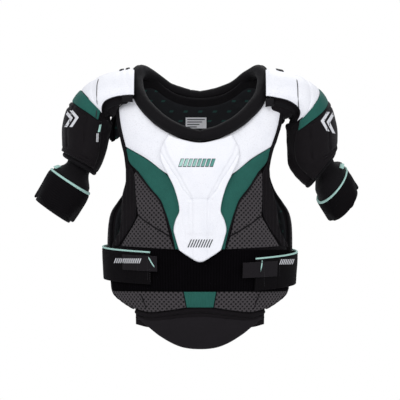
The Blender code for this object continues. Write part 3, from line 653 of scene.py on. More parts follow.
def make_sheet(edges, place, layer, pitch, relief=None, rim=None, ring=False, lengths=FLAT):
    """A closed sheet with rounded rims between four edges, raised by a relief."""
    edges = [measured(edge, lengths) for edge in edges]
    wide = max(edges[0][-1][0], edges[1][-1][0])
    tall = max(edges[2][-1][0], edges[3][-1][0])
    rim = rim or (layer[1] - layer[0]) * RIM_SHARE
    across = even_shares(wide, pitch) if ring else rim_shares(wide, pitch, rim)
    up = rim_shares(tall, pitch, rim)
    bottom, top = ([row_at(edge, share) for share in across] for edge in edges[:2])
    left, right = ([row_at(edge, share) for share in up] for edge in edges[2:])
    mesh = bmesh.new()
    counts = (len(across) - 1, len(up) - 1)
    bmesh.ops.create_grid(mesh, x_segments=counts[0], y_segments=counts[1], size=1.0)
    grown = bmesh.ops.extrude_face_region(mesh, geom=mesh.faces[:])
    outer = [part for part in grown["geom"] if isinstance(part, bmesh.types.BMVert)]
    bmesh.ops.translate(mesh, verts=outer, vec=(0, 0, 1))
    if ring:
        walls = [face for face in mesh.faces if abs(abs(face.calc_center_median().x) - 1) < TOUCH]
        bmesh.ops.delete(mesh, geom=walls, context="FACES")
    lining = [face for face in mesh.faces if face.calc_center_median().z < TOUCH]
    cut = mesh.loops.layers.uv.new("cut")
    mesh.verts.index_update()
    spots = {}
    for vert in mesh.verts:
        column = round((vert.co.x + 1) / 2 * counts[0])
        row = round((vert.co.y + 1) / 2 * counts[1])
        a, b = across[column], up[row]
        corners = (bottom[0] * (1 - a) + bottom[-1] * a) * (1 - b)
        corners += (top[0] * (1 - a) + top[-1] * a) * b
        spot = bottom[column] * (1 - b) + top[column] * b
        spot += left[row] * (1 - a) + right[row] * a - corners
        ends = [b * tall, (1 - b) * tall]
        ends += [] if ring else [a * wide, (1 - a) * wide]
        fullness = roundness(min(ends), rim)
        half = (layer[1] - layer[0]) / 2 * fullness
        middle = (layer[0] + layer[1]) / 2
        spots[vert.index] = spot
        if vert.co.z > 0.5:
            point = place(spot, middle + half)
            if relief:
                lift = relief(spot, point, min(ends)) * fullness
                point += (place(spot, middle + half + 1) - point) * lift
        else:
            point = place(spot, middle - half)
        vert.co = point * MILLIMETRE
    for face in mesh.faces:
        for loop in face.loops:
            spot = spots[loop.vert.index]
            loop[cut].uv = (spot[0] * lengths[0] * MILLIMETRE, spot[1] * lengths[1] * MILLIMETRE)
    for face in lining:
        face.material_index = 1
    if ring:
        bmesh.ops.remove_doubles(mesh, verts=mesh.verts[:], dist=MERGE)
    return mesh


def row_at(rows, share):
    return Vector(smooth_row(rows, share * rows[-1][0]))


def make_tube(path, pitch=2.5, segments=12, closed=False, centre=None, relief=None, flat=1.0):
    """A padded tube along rows of (x, y, z, radius), in millimetres, with round ends."""
    rows = measured(path)
    length = rows[-1][0]
    count = max(3, round(length / pitch))
    mesh = bmesh.new()
    bmesh.ops.create_grid(mesh, x_segments=segments, y_segments=count, size=1.0)
    cut = mesh.loops.layers.uv.new("cut")
    mesh.verts.index_update()
    frames = [tube_frame(rows, length * step / count, length, closed, centre) for step in range(count + 1)]
    spots = {}
    for vert in mesh.verts:
        step = round((vert.co.y + 1) / 2 * count)
        turn = math.pi * vert.co.x
        at = length * step / count
        point, first, second, radius = frames[step]
        if not closed:
            left = 1 - min(1.0, max(0.0, min(at, length - at)) / radius)
            radius *= math.sqrt(1 - left * left)
        if relief:
            radius += relief(turn, at, point) * min(1.0, radius)
        spots[vert.index] = (turn * frames[step][3], at)
        ring = first * math.cos(turn) * flat + second * math.sin(turn)
        vert.co = (point + ring * radius) * MILLIMETRE
    for face in mesh.faces:
        for loop in face.loops:
            spot = spots[loop.vert.index]
            loop[cut].uv = (spot[0] * MILLIMETRE, spot[1] * MILLIMETRE)
    bmesh.ops.remove_doubles(mesh, verts=mesh.verts[:], dist=MERGE)
    return mesh


def tube_frame(rows, at, length, closed, centre):
    """The point on a tube's path, two directions across it, and its radius."""
    x, y, z, radius = smooth_row(rows, at)
    point = Vector((x, y, z))
    before, after = at - TANGENT_STEP, at + TANGENT_STEP
    if closed:
        before, after = before % length, after % length
    along = Vector(smooth_row(rows, after)[:3]) - Vector(smooth_row(rows, before)[:3])
    along.normalize()
    facing = point - centre if centre else Vector((0, -1, 0))
    first = (facing - along * facing.dot(along)).normalized()
    return point, first, along.cross(first), radius


def finish_mesh(name, mesh, materials):
    """The bmesh as a closed, smooth object that faces outwards."""
    bmesh.ops.recalc_face_normals(mesh, faces=mesh.faces[:])
    if mesh.calc_volume(signed=True) < 0:
        bmesh.ops.reverse_faces(mesh, faces=mesh.faces[:])
    data = bpy.data.meshes.new(name)
    mesh.to_mesh(data)
    mesh.free()
    data.shade_smooth()
    data.set_sharp_from_angle(angle=math.radians(SHARP_ANGLE))
    for material in materials:
        data.materials.append(FINISHES[material])
    piece = bpy.data.objects.new(name, data)
    bpy.context.scene.collection.objects.link(piece)
    return piece


def add_piece(name, mesh, materials, body, nodes=()):
    """A finished piece that rides on a body, or stays where it was made when given several, and stands for
    its CAD nodes.
    """
    materials = (materials,) if isinstance(materials, str) else materials
    piece = finish_mesh(name, mesh, materials)
    if isinstance(body, str):
        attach(piece, body)
    else:
        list(body)
        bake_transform(piece)
    if nodes:
        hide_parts(*nodes)
    return piece


def puff(piece, pressure, most, held=None):
    """Blows a pad's cloth out between its held seams, by no more than a few millimetres."""
    data = piece.data
    rest = [vert.co.copy() for vert in data.vertices]
    cloth = piece.modifiers.new("Cloth", "CLOTH")
    settings = cloth.settings
    settings.quality = PUFF_QUALITY
    settings.use_pressure = True
    settings.uniform_pressure_force = pressure
    settings.tension_stiffness = settings.compression_stiffness = PUFF_STIFFNESS
    settings.effector_weights.gravity = 0
    if held:
        group = piece.vertex_groups.new(name="held")
        for vert in data.vertices:
            weight = held(vert.co / MILLIMETRE)
            if weight > LEAST_HOLD:
                group.add([vert.index], weight, "REPLACE")
        settings.vertex_group_mass = "held"
    scene = bpy.context.scene
    for number in range(1, PUFF_FRAMES + 1):
        scene.frame_set(number)
    graph = bpy.context.evaluated_depsgraph_get()
    blown = [vert.co.copy() for vert in piece.evaluated_get(graph).data.vertices]
    piece.modifiers.remove(cloth)
    scene.frame_set(1)
    for vert, start, end in zip(data.vertices, rest, blown):
        move = end - start
        reach = move.length / (most * MILLIMETRE)
        if reach > 0:
            move *= math.tanh(reach) / reach
        vert.co = start + move
    data.update()


# Prints, threads and labels, laid on the pieces from the front or the back


def ground_of(*pieces):
    """The surfaces that prints and threads are laid on, as one tree."""
    points, faces = [], []
    for piece in pieces:
        start = len(points)
        points += [vert.co.copy() for vert in piece.data.vertices]
        faces += [[start + index for index in face.vertices] for face in piece.data.polygons]
    return BVHTree.FromPolygons(points, faces)


def on_ground(ground, across, height, start=FRONT_START, facing=1):
    """The point on the ground straight behind (across, height), in millimetres."""
    origin = Vector((across, start, height)) * MILLIMETRE
    hit = ground.ray_cast(origin, Vector((0, facing, 0)))[0]
    if hit is None:
        hit = ground.find_nearest(Vector((across, MISSED_DEPTH, height)) * MILLIMETRE)[0]
    return hit / MILLIMETRE


def make_print(outlines, ground, raised=0.5, pitch=4.0, start=FRONT_START, facing=1):
    """Thin printed or sewn shapes that lie on the ground, given as (across, height)."""
    mesh = bmesh.new()
    for outline in outlines:
        mesh.faces.new([mesh.verts.new((x, 0, z)) for x, z in outline])
    for axis in (0, 2):
        reach = [vert.co[axis] for vert in mesh.verts]
        normal = Vector([1.0 if axis == other else 0.0 for other in range(3)])
        at = min(reach) + pitch
        while at < max(reach):
            parts = mesh.verts[:] + mesh.edges[:] + mesh.faces[:]
            bmesh.ops.bisect_plane(mesh, geom=parts, plane_co=normal * at, plane_no=normal)
            at += pitch
    bmesh.ops.triangulate(mesh, faces=mesh.faces[:])
    for vert in mesh.verts:
        hit = on_ground(ground, vert.co.x, vert.co.z, start, facing)
        vert.co = (hit + Vector((0, PRINT_DEPTH * facing, 0))) * MILLIMETRE
    grown = bmesh.ops.extrude_face_region(mesh, geom=mesh.faces[:])
    outer = [part for part in grown["geom"] if isinstance(part, bmesh.types.BMVert)]
    lift = -(raised + PRINT_DEPTH) * facing * MILLIMETRE
    bmesh.ops.translate(mesh, verts=outer, vec=(0, lift, 0))
    return mesh


def laid_path(path, ground, radius, lift=0.2, start=FRONT_START, facing=1, pitch=4.0):
    """Rows for a tube that lies on the ground along a path of (across, height)."""
    rows = measured(path)
    count = max(2, round(rows[-1][0] / pitch))
    laid = []
    for step in range(count + 1):
        x, z = smooth_row(rows, rows[-1][0] * step / count)
        hit = on_ground(ground, x, z, start, facing)
        row = (hit.x, hit.y - lift * facing, hit.z, radius)
        if not laid or math.dist(row, laid[-1]) > 1.0:
            laid.append(row)
    return laid


def make_stitches(paths, ground, start=FRONT_START, facing=1, size=(1.15, 0.42)):
    """Rows of short thread stitches along paths of (across, height)."""
    mesh = bmesh.new()
    for path in paths:
        rows = measured(path)
        at = STITCH_PITCH / 2
        while at < rows[-1][0]:
            ends = [smooth_row(rows, at + step) for step in (-1.0, 1.0)]
            near, far = (on_ground(ground, x, z, start, facing) for x, z in ends)
            turn = (far - near).to_track_quat("X", "Z").to_matrix().to_4x4()
            place = Matrix.Translation((near + far) / 2 * MILLIMETRE) @ turn
            grow = Matrix.Diagonal([s * MILLIMETRE for s in (size[0], size[1], size[1])]).to_4x4()
            bmesh.ops.create_icosphere(mesh, subdivisions=1, radius=1.0, matrix=place @ grow)
            at += STITCH_PITCH
    return mesh


def slanted_bars(start, stop, count, slant, share=0.62):
    """Generic slanted bars between two corners given as (across, height)."""
    (x0, z0), (x1, z1) = start, stop
    step = (x1 - x0 - slant) / count
    bars = []
    for index in range(count):
        low = x0 + step * index
        high = low + step * share
        bars.append(((low, z1), (high, z1), (high + slant, z0), (low + slant, z0)))
    return bars


def distance_to(path, x, z):
    """How far (x, z) is from a line through the points of a path."""
    least = math.inf
    for (ax, az), (bx, bz) in zip(path, path[1:]):
        run, rise = bx - ax, bz - az
        share = ((x - ax) * run + (z - az) * rise) / (run * run + rise * rise)
        share = min(1.0, max(0.0, share))
        least = min(least, math.hypot(x - ax - run * share, z - az - rise * share))
    return least


def hump(distance, width):
    """A smooth bump, 1 at its middle line and gone past about twice its width."""
    return math.exp(-((distance / width) ** 2))


def soft_noise(point, size, seed=0.0):
    """Smooth noise from -1 to 1, with a grain of about a size in millimetres."""
    return noise.noise(Vector(point) / size + Vector((seed, seed, seed)))


class Signal:
    """One output of a finish's nodes; arithmetic on it adds Math nodes."""

    def __init__(self, finish, socket):
        self.finish, self.socket = finish, socket

    def sum(self, operation, *values):
        return self.finish.add("ShaderNodeMath", {"operation": operation}, dict(enumerate(values)))

    def __add__(self, other):
        return self.sum("ADD", self, other)

    def __sub__(self, other):
        return self.sum("SUBTRACT", self, other)

    def __rsub__(self, other):
        return self.sum("SUBTRACT", other, self)

    def __mul__(self, other):
        return self.sum("MULTIPLY", self, other)

    __radd__ = __add__
    __rmul__ = __mul__

    def wave(self, pitch):
        """A sine of this distance in metres, with a pitch in millimetres."""
        return self.sum("SINE", self * (math.tau / (pitch * MILLIMETRE)))

    def between(self, low, high):
        """A smooth step from 0 at low to 1 at high."""
        settings = {"interpolation_type": "SMOOTHSTEP"}
        return self.finish.add("ShaderNodeMapRange", settings, {0: self, 1: low, 2: high})


class Finish:
    """A material on one principled shader, with helpers that add its nodes."""

    def __init__(self, name, **constants):
        self.material = bpy.data.materials.new(name)
        self.material.use_nodes = True
        self.tree = self.material.node_tree
        self.shader = self.tree.nodes["Principled BSDF"]
        for socket, value in constants.items():
            self.shader.inputs[socket.replace("_", " ")].default_value = value
        place = self.add("ShaderNodeTexCoord", output="Object")
        self.place = place
        uv = self.add("ShaderNodeUVMap", {"uv_map": "cut"})
        self.u = self.add("ShaderNodeSeparateXYZ", sockets={0: uv}, output=0)
        self.v = self.add("ShaderNodeSeparateXYZ", sockets={0: uv}, output=1)

    def add(self, kind, settings=None, sockets=None, output=0):
        """A node with its settings and socket values or links; gives one of its outputs."""
        node = self.tree.nodes.new(kind)
        for key, value in (settings or {}).items():
            setattr(node, key, value)
        for key, value in (sockets or {}).items():
            if isinstance(value, Signal):
                self.tree.links.new(value.socket, node.inputs[key])
            else:
                node.inputs[key].default_value = value
        return Signal(self, node.outputs[output])

    def grain(self, size, detail=3.0):
        """Cloudy noise from 0 to 1 with a size in millimetres."""
        sockets = {"Vector": self.place, "Scale": 1 / (size * MILLIMETRE), "Detail": detail}
        return self.add("ShaderNodeTexNoise", sockets=sockets)

    def blend(self, share, first, second):
        """A colour between two others."""
        colours = [value if isinstance(value, Signal) else (*value, 1.0) for value in (first, second)]
        sockets = {0: share, 6: colours[0], 7: colours[1]}
        return self.add("ShaderNodeMix", {"data_type": "RGBA"}, sockets, 2)

    def drive(self, socket, value):
        self.tree.links.new(value.socket, self.shader.inputs[socket])

    def relief(self, height, distance, strength=1.0):
        """Bumps the surface by a height, whose full size is a distance in millimetres."""
        sockets = {"Height": height, "Distance": distance * MILLIMETRE, "Strength": strength}
        self.drive("Normal", self.add("ShaderNodeBump", sockets=sockets))

    def mottle(self, colour, darker, size=22.0):
        """The base colour with soft, large differences, and a finer one over them."""
        dark = [channel * darker for channel in colour]
        large = self.grain(size).between(0.3, 0.7)
        fine = self.grain(size / 9, 4.0).between(0.25, 0.75)
        return self.blend(large * 0.6 + fine * 0.4, dark, colour)


def woven(name, colour, pitch, depth, roughness, darker=0.75, sheen=0.25, ribs=0.0, shine=0.09):
    """A cloth with a plain weave, or with ribs along it, and a soft fuzz."""
    finish = Finish(name, Sheen_Weight=sheen, Sheen_Roughness=0.4, Specular_IOR_Level=shine)
    thread = (finish.u.wave(pitch) * finish.v.wave(pitch)) * 0.5 + 0.5
    if ribs:
        rib = finish.u.wave(ribs) * 0.5 + 0.5
        thread = rib * 0.75 + (finish.v.wave(pitch) * 0.5 + 0.5) * 0.25
    fuzz = finish.grain(1.6, 5.0)
    height = thread * 0.7 + fuzz * 0.3
    body = finish.mottle(colour, darker)
    # painted shade: the weave's low parts, which the bump also sinks, take this darker colour
    deep = [channel * darker * 0.55 for channel in colour]
    finish.drive("Base Color", finish.blend(height.between(0.1, 0.6), deep, body))
    finish.drive("Roughness", fuzz * 0.12 + (roughness - 0.06))
    finish.relief(height, depth)
    return finish.material


def moulded_white(name, colour, grain, depth, roughness):
    """A white coated skin with a fine pebbled grain, faint patches of a darker, bluer tone, and painted
    shade in the hollows of its grain.
    """
    finish = Finish(name, Coat_Weight=0.05, Coat_Roughness=0.4)
    pebble = finish.grain(grain, 2.0)
    dust = finish.grain(34.0, 4.0).between(0.45, 0.85)
    shade = [channel * tint for channel, tint in zip(colour, (0.90, 0.91, 0.93))]
    body = finish.blend(dust * 0.7, colour, shade)
    # painted shade: where the pebble bump sinks, the colour is darker
    low = [channel * 0.86 for channel in colour]
    finish.drive("Base Color", finish.blend(pebble.between(0.25, 0.5), low, body))
    finish.drive("Roughness", pebble * 0.16 + (roughness - 0.08))
    finish.relief(pebble, depth)
    return finish.material


def spacer_mesh(name, colour, hole, columns, rows):
    """An open warp-knitted mesh: pale ridges round dark staggered holes, with painted shade in the yarn's
    hollows, and holes that show the dark pad beneath, made darker still by painted shade.
    """
    finish = Finish(name, Sheen_Weight=0.04, Specular_IOR_Level=0.3)
    open_part = (finish.u.wave(columns) * finish.v.wave(rows)).between(0.05, 0.6)
    yarn = (finish.u + finish.v).wave(1.1) * (finish.u - finish.v).wave(1.1) * 0.5 + 0.5
    # painted shade: the yarn's low parts, which the bump also sinks, are darker
    lit = finish.blend(yarn, [channel * 0.6 for channel in colour], colour)
    shade = finish.mottle(colour, 0.7)
    lit = finish.blend(0.45, lit, shade)
    # the holes: the dark pad that shows through, darkened further by painted shade
    finish.drive("Base Color", finish.blend(open_part, lit, hole))
    finish.drive("Roughness", finish.grain(2.0) * 0.15 + 0.68)
    finish.relief(yarn * 0.25 + (1 - open_part) * 0.75, 0.7)
    return finish.material


def lining_print(name, colour, mark):
    """A dark knitted lining with a faint repeated dash in green."""
    finish = Finish(name, Sheen_Weight=0.03, Specular_IOR_Level=0.25)
    knit = finish.u.wave(2.2) * finish.v.wave(1.6) * 0.5 + 0.5
    dash = (finish.u + finish.v * 0.5).wave(26.0).between(0.55, 0.75)
    row = finish.v.wave(19.0).between(0.7, 0.9)
    body = finish.mottle(colour, 0.65)
    faint = finish.blend(dash * row * 0.5, body, mark)
    finish.drive("Base Color", faint)
    finish.drive("Roughness", knit * 0.1 + 0.72)
    finish.relief(knit, 0.35)
    return finish.material


def flat_print(name, colour, wear=0.85, roughness=0.5):
    """A screen print with slightly uneven ink."""
    finish = Finish(name)
    ink = finish.grain(0.9, 4.0)
    thin = [channel * wear for channel in colour]
    finish.drive("Base Color", finish.blend(ink.between(0.3, 0.7), thin, colour))
    finish.drive("Roughness", ink * 0.1 + (roughness - 0.05))
    finish.relief(ink, 0.12)
    return finish.material


def faded_print(name, first, second, start, stop):
    """A print that fades from one colour to another across the chest."""
    finish = Finish(name, Roughness=0.45)
    across = finish.add("ShaderNodeSeparateXYZ", sockets={0: finish.place}, output=0)
    ink = finish.grain(0.9, 4.0).between(0.2, 0.6)
    colour = finish.blend(across.between(start * MILLIMETRE, stop * MILLIMETRE), first, second)
    finish.drive("Base Color", finish.blend(ink * 0.9 + 0.1, second, colour))
    finish.relief(ink, 0.1)
    return finish.material


WHITE = (0.83, 0.83, 0.86)
GREEN = (0.022, 0.122, 0.098)
MINT = (0.44, 0.69, 0.62)
BLACK = (0.0070, 0.0052, 0.0066)
ELASTIC = (0.0044, 0.0036, 0.0044)
BELLY = (0.0026, 0.0021, 0.0028)
CHARCOAL = (0.0125, 0.0105, 0.0125)
MESH_GREY = (0.056, 0.048, 0.052)
PRINT_WHITE = (0.70, 0.70, 0.72)
# Each finish: its name, the slot that a repaint changes, how it is made and its values
FINISH_ROWS = (
    ("white_moulded", "white_shell", moulded_white, WHITE, 1.1, 0.10, 0.46),
    ("white_cloth", "white_panel", moulded_white, WHITE, 1.8, 0.22, 0.58),
    ("green_cloth", "green_panel", woven, GREEN, 1.2, 0.22, 0.6, 0.82, 0.04),
    ("mint_tape", "mint_trim", woven, MINT, 1.4, 0.2, 0.6, 0.88, 0.05),
    ("black_tricot", "black_cloth", woven, BLACK, 1.1, 0.25, 0.76, 0.7, 0.05),
    ("guard_tricot", "black_cloth", woven, BLACK, 1.3, 0.3, 0.66, 0.75, 0.06),
    ("charcoal_cloth", "charcoal_cloth", woven, CHARCOAL, 1.0, 0.2, 0.8, 0.85, 0.07),
    ("collar_knit", "collar_cloth", woven, (0.0065, 0.0056, 0.0068), 1.6, 0.3, 0.72, 0.7, 0.05),
    ("dark_lining", "dark_liner", lining_print, (0.0052, 0.0062, 0.0085), (0.012, 0.075, 0.062)),
    ("ribbed_elastic", "elastic", woven, ELASTIC, 1.0, 0.35, 0.8, 0.75, 0.01, 3.4, 0.05),
    ("belly_elastic", "elastic", woven, BELLY, 1.2, 0.35, 0.9, 0.7, 0.0, 5.2, 0.02),
    ("sleeve_elastic", "elastic", woven, (0.0062, 0.0052, 0.0064), 1.0, 0.3, 0.76, 0.75, 0.05, 2.4),
    ("webbing_weave", "webbing", woven, (0.012, 0.011, 0.0125), 2.2, 0.5, 0.6, 0.7, 0.04, 1.7),
    ("binding_tape", "black_cloth", woven, (0.0055, 0.0046, 0.0058), 0.9, 0.25, 0.66, 0.8, 0.04, 1.2),
    ("spacer_mesh", "grey_mesh", spacer_mesh, MESH_GREY, (0.003, 0.0027, 0.003), *MESH_PITCH),
    ("stiff_plastic", "stiff_plastic", moulded_white, (0.05, 0.052, 0.056), 2.4, 0.15, 0.42),
    ("white_print", "print_grey", flat_print, PRINT_WHITE),
    ("dark_print", "print_grey", flat_print, (0.022, 0.030, 0.034)),
    ("black_thread", "black_cloth", flat_print, (0.012, 0.011, 0.013), 0.8, 0.6),
    ("white_thread", "white_panel", flat_print, (0.62, 0.62, 0.66), 0.9, 0.6),
    ("faded_print", "mint_trim", faded_print, MINT, (0.05, 0.24, 0.20), -41.0, 33.0),
)
FINISHES = {name: maker(name, *values) for name, _, maker, *values in FINISH_ROWS}
SLOTS = {name: slot for name, slot, *_ in FINISH_ROWS}


# Reliefs, in millimetres out from a piece's own surface


def cushion_relief(crown, groove=3.4):
    """A crowned panel with a sewn groove just inside its edge."""

    def relief(spot, point, edge):
        full = 1 - math.exp(-edge / 14.0)
        return crown * full - 0.7 * hump(edge - groove, 0.9)

    return relief


def lattice_relief(spot, point, edge):
    """Staggered holes between the ridges of a spacer mesh."""
    columns, rows = MESH_PITCH
    opening = math.sin(math.tau * spot[0] / columns) * math.sin(math.tau * spot[1] / rows)
    return 0.5 - 1.5 * eased(opening, 0.05, 0.75) * eased(edge, 1.0, 3.0)


def rib_relief(pitch, depth):
    def relief(spot, point, edge):
        return depth * math.sin(math.tau * spot[0] / pitch) * eased(edge, 0.5, 2.5)

    return relief


def side_relief(spot, point, edge):
    """Soft ridges down the plain side strip."""
    across = abs(point.x)
    return 0.8 * math.sin(across * 0.95) + 0.5 * soft_noise(point, 18.0)


def plate_relief(spot, point, edge):
    """The moulded facets, grooves and raised field of the sternum plate."""
    x, z = abs(point.x), point.z
    height = -2.6 * (1 - eased(edge, 0.0, PLATE_BEVEL))
    height -= 1.6 * hump(distance_to(PLATE_GROOVE, x, z), 1.5)
    inner = eased(-signed_side(PLATE_FIELD, x, z), -1.6, 1.6)
    height += 1.7 * inner
    low = eased(PLATE_STEP - z, 0.0, 6.0)
    height += 1.2 * low * (1 - eased(x, 17.0, 23.0))
    height -= 1.2 * hump(z - PLATE_STEP + 1.0, 2.0) * (1 - eased(x, 20.0, 26.0))
    facet = eased(PLATE_FACET - z, -2.0, 5.0)
    height -= 1.1 * facet * (1 - eased(x, 20.0, 26.0))
    height -= 0.8 * hump(distance_to(PLATE_LOW_EDGE, x, z), 1.4)
    return height


def signed_side(path, x, z):
    """How far x is beyond a path that gives x at each height."""
    height = min(max(z, min(path[0][1], path[-1][1])), max(path[0][1], path[-1][1]))
    for (ax, az), (bx, bz) in zip(path, path[1:]):
        if min(az, bz) <= height <= max(az, bz):
            return x - (ax + (bx - ax) * (height - az) / (bz - az))
    return x


def back_relief(spot, point, edge):
    """Sewn channels that fan out from the spine, and soft fullness between them."""
    x, z = abs(point.x), point.z
    depth = 0.0
    for line in BACK_CHANNELS:
        depth += 2.2 * hump(distance_to(line, x, z), 3.2)
    return 1.6 - min(depth, 2.6) + 0.6 * soft_noise(point, 30.0)


def lines_relief(paths, depth, width, crown=0.8, pucker=0.25):
    """Grooves or ridges along paths of (across, height), on softly uneven cloth."""

    def relief(spot, point, edge):
        height = crown * (1 - math.exp(-edge / 10.0)) - 0.5 * hump(edge - 2.6, 0.9)
        for path in paths:
            height += depth * hump(distance_to(path, point.x, point.z), width)
        return height + pucker * soft_noise(point, 16.0)

    return relief


def wrinkle_relief(depth, spacing, seed):
    """Soft wrinkles round a stretched tube."""

    def relief(spot, point, edge):
        near = Vector((point.x * 0.012 + seed, point.y * 0.012, spot[0] * ARM_LENGTHS[0] / spacing))
        fold = noise.noise(near) + 0.5 * noise.noise(near * 2.1)
        return depth * fold * eased(edge, 1.0, 9.0)

    return relief


def edge_line(place, spots, out, shift=(0.0, 0.0), lengths=FLAT):
    """Points along an edge given as spots, at a distance out from the form."""
    rows = measured([(a + shift[0], b + shift[1]) for a, b in spots], lengths)
    count = max(4, round(rows[-1][0] / 8.0))
    found = []
    for step in range(count + 1):
        spot = smooth_row(rows, rows[-1][0] * step / count)
        found.append(place(spot, out))
    return found


def binding(name, place, spots, out, radius, body, finish="binding_tape", **options):
    """A folded tape bound over the edge of a padded piece."""
    lengths = options.pop("lengths", FLAT)
    line = edge_line(place, spots, out, lengths=lengths)
    radius_at = radius if callable(radius) else (lambda point: radius)
    path = [(*point, radius_at(point)) for point in line]
    mesh = make_tube(path, segments=10, relief=tape_relief, **options)
    return add_piece(name, mesh, finish, body)


def tape_relief(turn, at, point):
    return 0.18 * math.sin(at * 1.9) + 0.25 * soft_noise(point, 9.0)


def front_sheet(node, edges, layer, finish, side=1, name=None, pitch=3.0, relief=None, **options):
    """A visible sheet on the front of the torso that stands for one or more CAD nodes."""
    edges = [on_front(edge, side) for edge in edges]
    body = options.pop("body", "torso")
    nodes = options.pop("nodes", (node,))
    mesh = make_sheet(edges, torso_place, layer, pitch, relief, **options)
    return add_piece(name or "fine_" + node, mesh, finish, body, nodes)


def make_front_core():
    """The padded front, black outside and lined inside, with its edge bound in tape."""
    top = mirrored(NECK_EDGE + SHOULDER_EDGE[1:])
    left = [(-x, z) for x, z in FRONT_EDGE]
    edges = [on_front(edge) for edge in (mirrored(FRONT_HEM), top, left, FRONT_EDGE)]
    mesh = make_sheet(edges, torso_place, CORE, 6.0, cushion_relief(0.6), rim=9.0)
    nodes = ("front_liner", "front_foam")
    pad = add_piece("front_pad", mesh, ("black_tricot", "dark_lining"), "torso", nodes)
    for side_name, side in SIDES:
        line = on_front([(x, z) for x, z in FRONT_EDGE if z > -260], side)
        name = "front_edge_binding_" + side_name
        binding(name, torso_place, line, -4.6, bound_radius, "torso")
        line = on_front([(x - 2.0, z) for x, z in FRONT_EDGE if z < -300], side)
        binding("hem_side_binding_" + side_name, torso_place, line, -5.5, 5.6, "torso")
    line = on_front(mirrored(NECK_EDGE))
    binding("neck_edge_binding", torso_place, line, -6.5, 4.2, "torso")


def bound_radius(point):
    """The binding's radius, fuller round the chest than below it."""
    return 3.0 + 2.0 * eased(point.z, -165.0, -120.0)


def make_back():
    """The padded back, its mesh cover, spine guard and bound edges."""
    left = [(-x, z) for x, z in BACK_EDGE + BACK_WINGS["left"]]
    right = list(BACK_EDGE + BACK_WINGS["right"])
    edges = [on_back(edge) for edge in (mirrored(BACK_HEM), mirrored(BACK_TOP), left, right)]
    mesh = make_sheet(edges, torso_place, CORE, 7.0, cushion_relief(0.6), rim=9.0)
    nodes = ("back_liner", "back_foam")
    pad = add_piece("back_pad", mesh, ("black_tricot", "dark_lining"), "torso", nodes)
    mesh = make_sheet(edges, torso_place, BACK_COVER, 4.4, back_relief, rim=4.0)
    add_piece("fine_back_cover", mesh, "spacer_mesh", "torso", ("back_cover",))
    binding("back_hem_binding", torso_place, edges[0], -5.5, 3.4, "torso")
    binding("back_edge_binding_left", torso_place, edges[2], -5.5, 3.4, "torso")
    binding("back_edge_binding_right", torso_place, edges[3], -5.5, 3.4, "torso")
    low = [(x, z - 5.0) for x, z in BACK_TOP[:-2]]
    high = [(x, z + rise) for (x, z), rise in zip(BACK_TOP, NECK_STRIP_RISES)]
    strip = [mirrored(low), mirrored(high), [(-low[-1][0], low[-1][1]), (-high[-1][0], high[-1][1])]]
    strip = [on_back(edge) for edge in (*strip, (low[-1], high[-1]))]
    mesh = make_sheet(strip, torso_place, NECK_STRIP, 4.0, rim=4.0)
    add_piece("neck_inner_strip", mesh, "collar_knit", "torso")
    low, high = SPINE_HEIGHTS
    half = SPINE_HALF_WIDTH
    bottom = ((-half + 5, low), (0, low - 6), (half - 5, low))
    top = ((-half + 5, high), (0, high + 4), (half - 5, high))
    right = ((half - 5, low), (half, low + 30), (half, high - 30), (half - 5, high))
    sides = [side_of(right, -1), right]
    edges = [on_back(edge) for edge in (bottom, top, *sides)]
    mesh = make_sheet(edges, torso_place, SPINE_GUARD, 2.6, spine_relief, rim=5.0)
    add_piece("fine_spine_guard", mesh, "stiff_plastic", "torso", ("spine_guard",))
    return pad


def spine_relief(spot, point, edge):
    """Raised ribs across the spine guard, each between two soft hollows."""
    rib = math.cos(math.tau * point.z / 27.0)
    inside = eased(edge, 4.0, 9.0)
    return inside * (1.4 * eased(rib, -0.3, 0.5) - 1.2) - 0.5 * hump(abs(point.x), 1.3) * inside


def make_chest(side_name, side):
    """The white chest panel and the green band below it."""
    top = ((20, -76.5),) + NECK_EDGE[1:] + SHOULDER_EDGE[1:]
    outer = ((134, -87), (142, -61), (150, -13))
    inner = ((20, -152), (20, -76.5))
    panel = (CHEST_BOTTOM, top, inner, outer)
    name = "chest_panel_" + side_name
    chest = front_sheet(name, panel, CHEST, "white_cloth", side, relief=cushion_relief(1.4))
    start = (BAND_INNER[0], BAND_OUTER[0])
    stop = (BAND_INNER[-1], BAND_OUTER[-1])
    band = (start, stop, BAND_INNER, BAND_OUTER)
    name = "chest_band_" + side_name
    front_sheet(name, band, CHEST_BAND, "green_cloth", side, relief=cushion_relief(0.8), pitch=2.4)
    return chest


def make_front_sides(side_name, side):
    """The mesh panels above and below the sewn channel, and the plain side strip."""
    inner = [(x + SEAM_GAP, z - SEAM_GAP) for x, z in BAND_OUTER[2:-3]]
    upper_inner = [CHANNEL[0]] + inner + [MESH_APEX]
    upper_outer = (CHANNEL[-1],) + MESH_UPPER_SIDE
    upper = (CHANNEL, (MESH_APEX, upper_outer[-1]), upper_inner, upper_outer)
    options = {"side": side, "relief": lattice_relief, "pitch": 1.1, "rim": 2.6}
    front_sheet("mesh_upper_" + side_name, upper, COVER, "spacer_mesh", **options)
    top = [(x, z - SEAM_GAP) for x, z in CHANNEL]
    lower_inner = (MESH_BOTTOM[0], top[0])
    lower_outer = (MESH_BOTTOM[1], MESH_LOWER_SIDE, top[-1])
    lower = (MESH_BOTTOM, top, lower_inner, lower_outer)
    front_sheet("mesh_lower_" + side_name, lower, COVER, "spacer_mesh", **options)
    start = (SIDE_INNER[0], SIDE_OUTER[0])
    stop = (SIDE_INNER[-1], SIDE_OUTER[-1])
    strip = (start, stop, SIDE_INNER, SIDE_OUTER)
    name = "side_panel_" + side_name
    front_sheet(name, strip, COVER, "black_tricot", side, relief=side_relief, pitch=2.2)
    seams = {"channel": CHANNEL, "side": SIDE_INNER[1:], "band": BAND_OUTER[:-2]}
    for seam, line in seams.items():
        line = on_front(line, side)
        binding(f"front_seam_{seam}_{side_name}", torso_place, line, -0.5, 1.5, "torso")


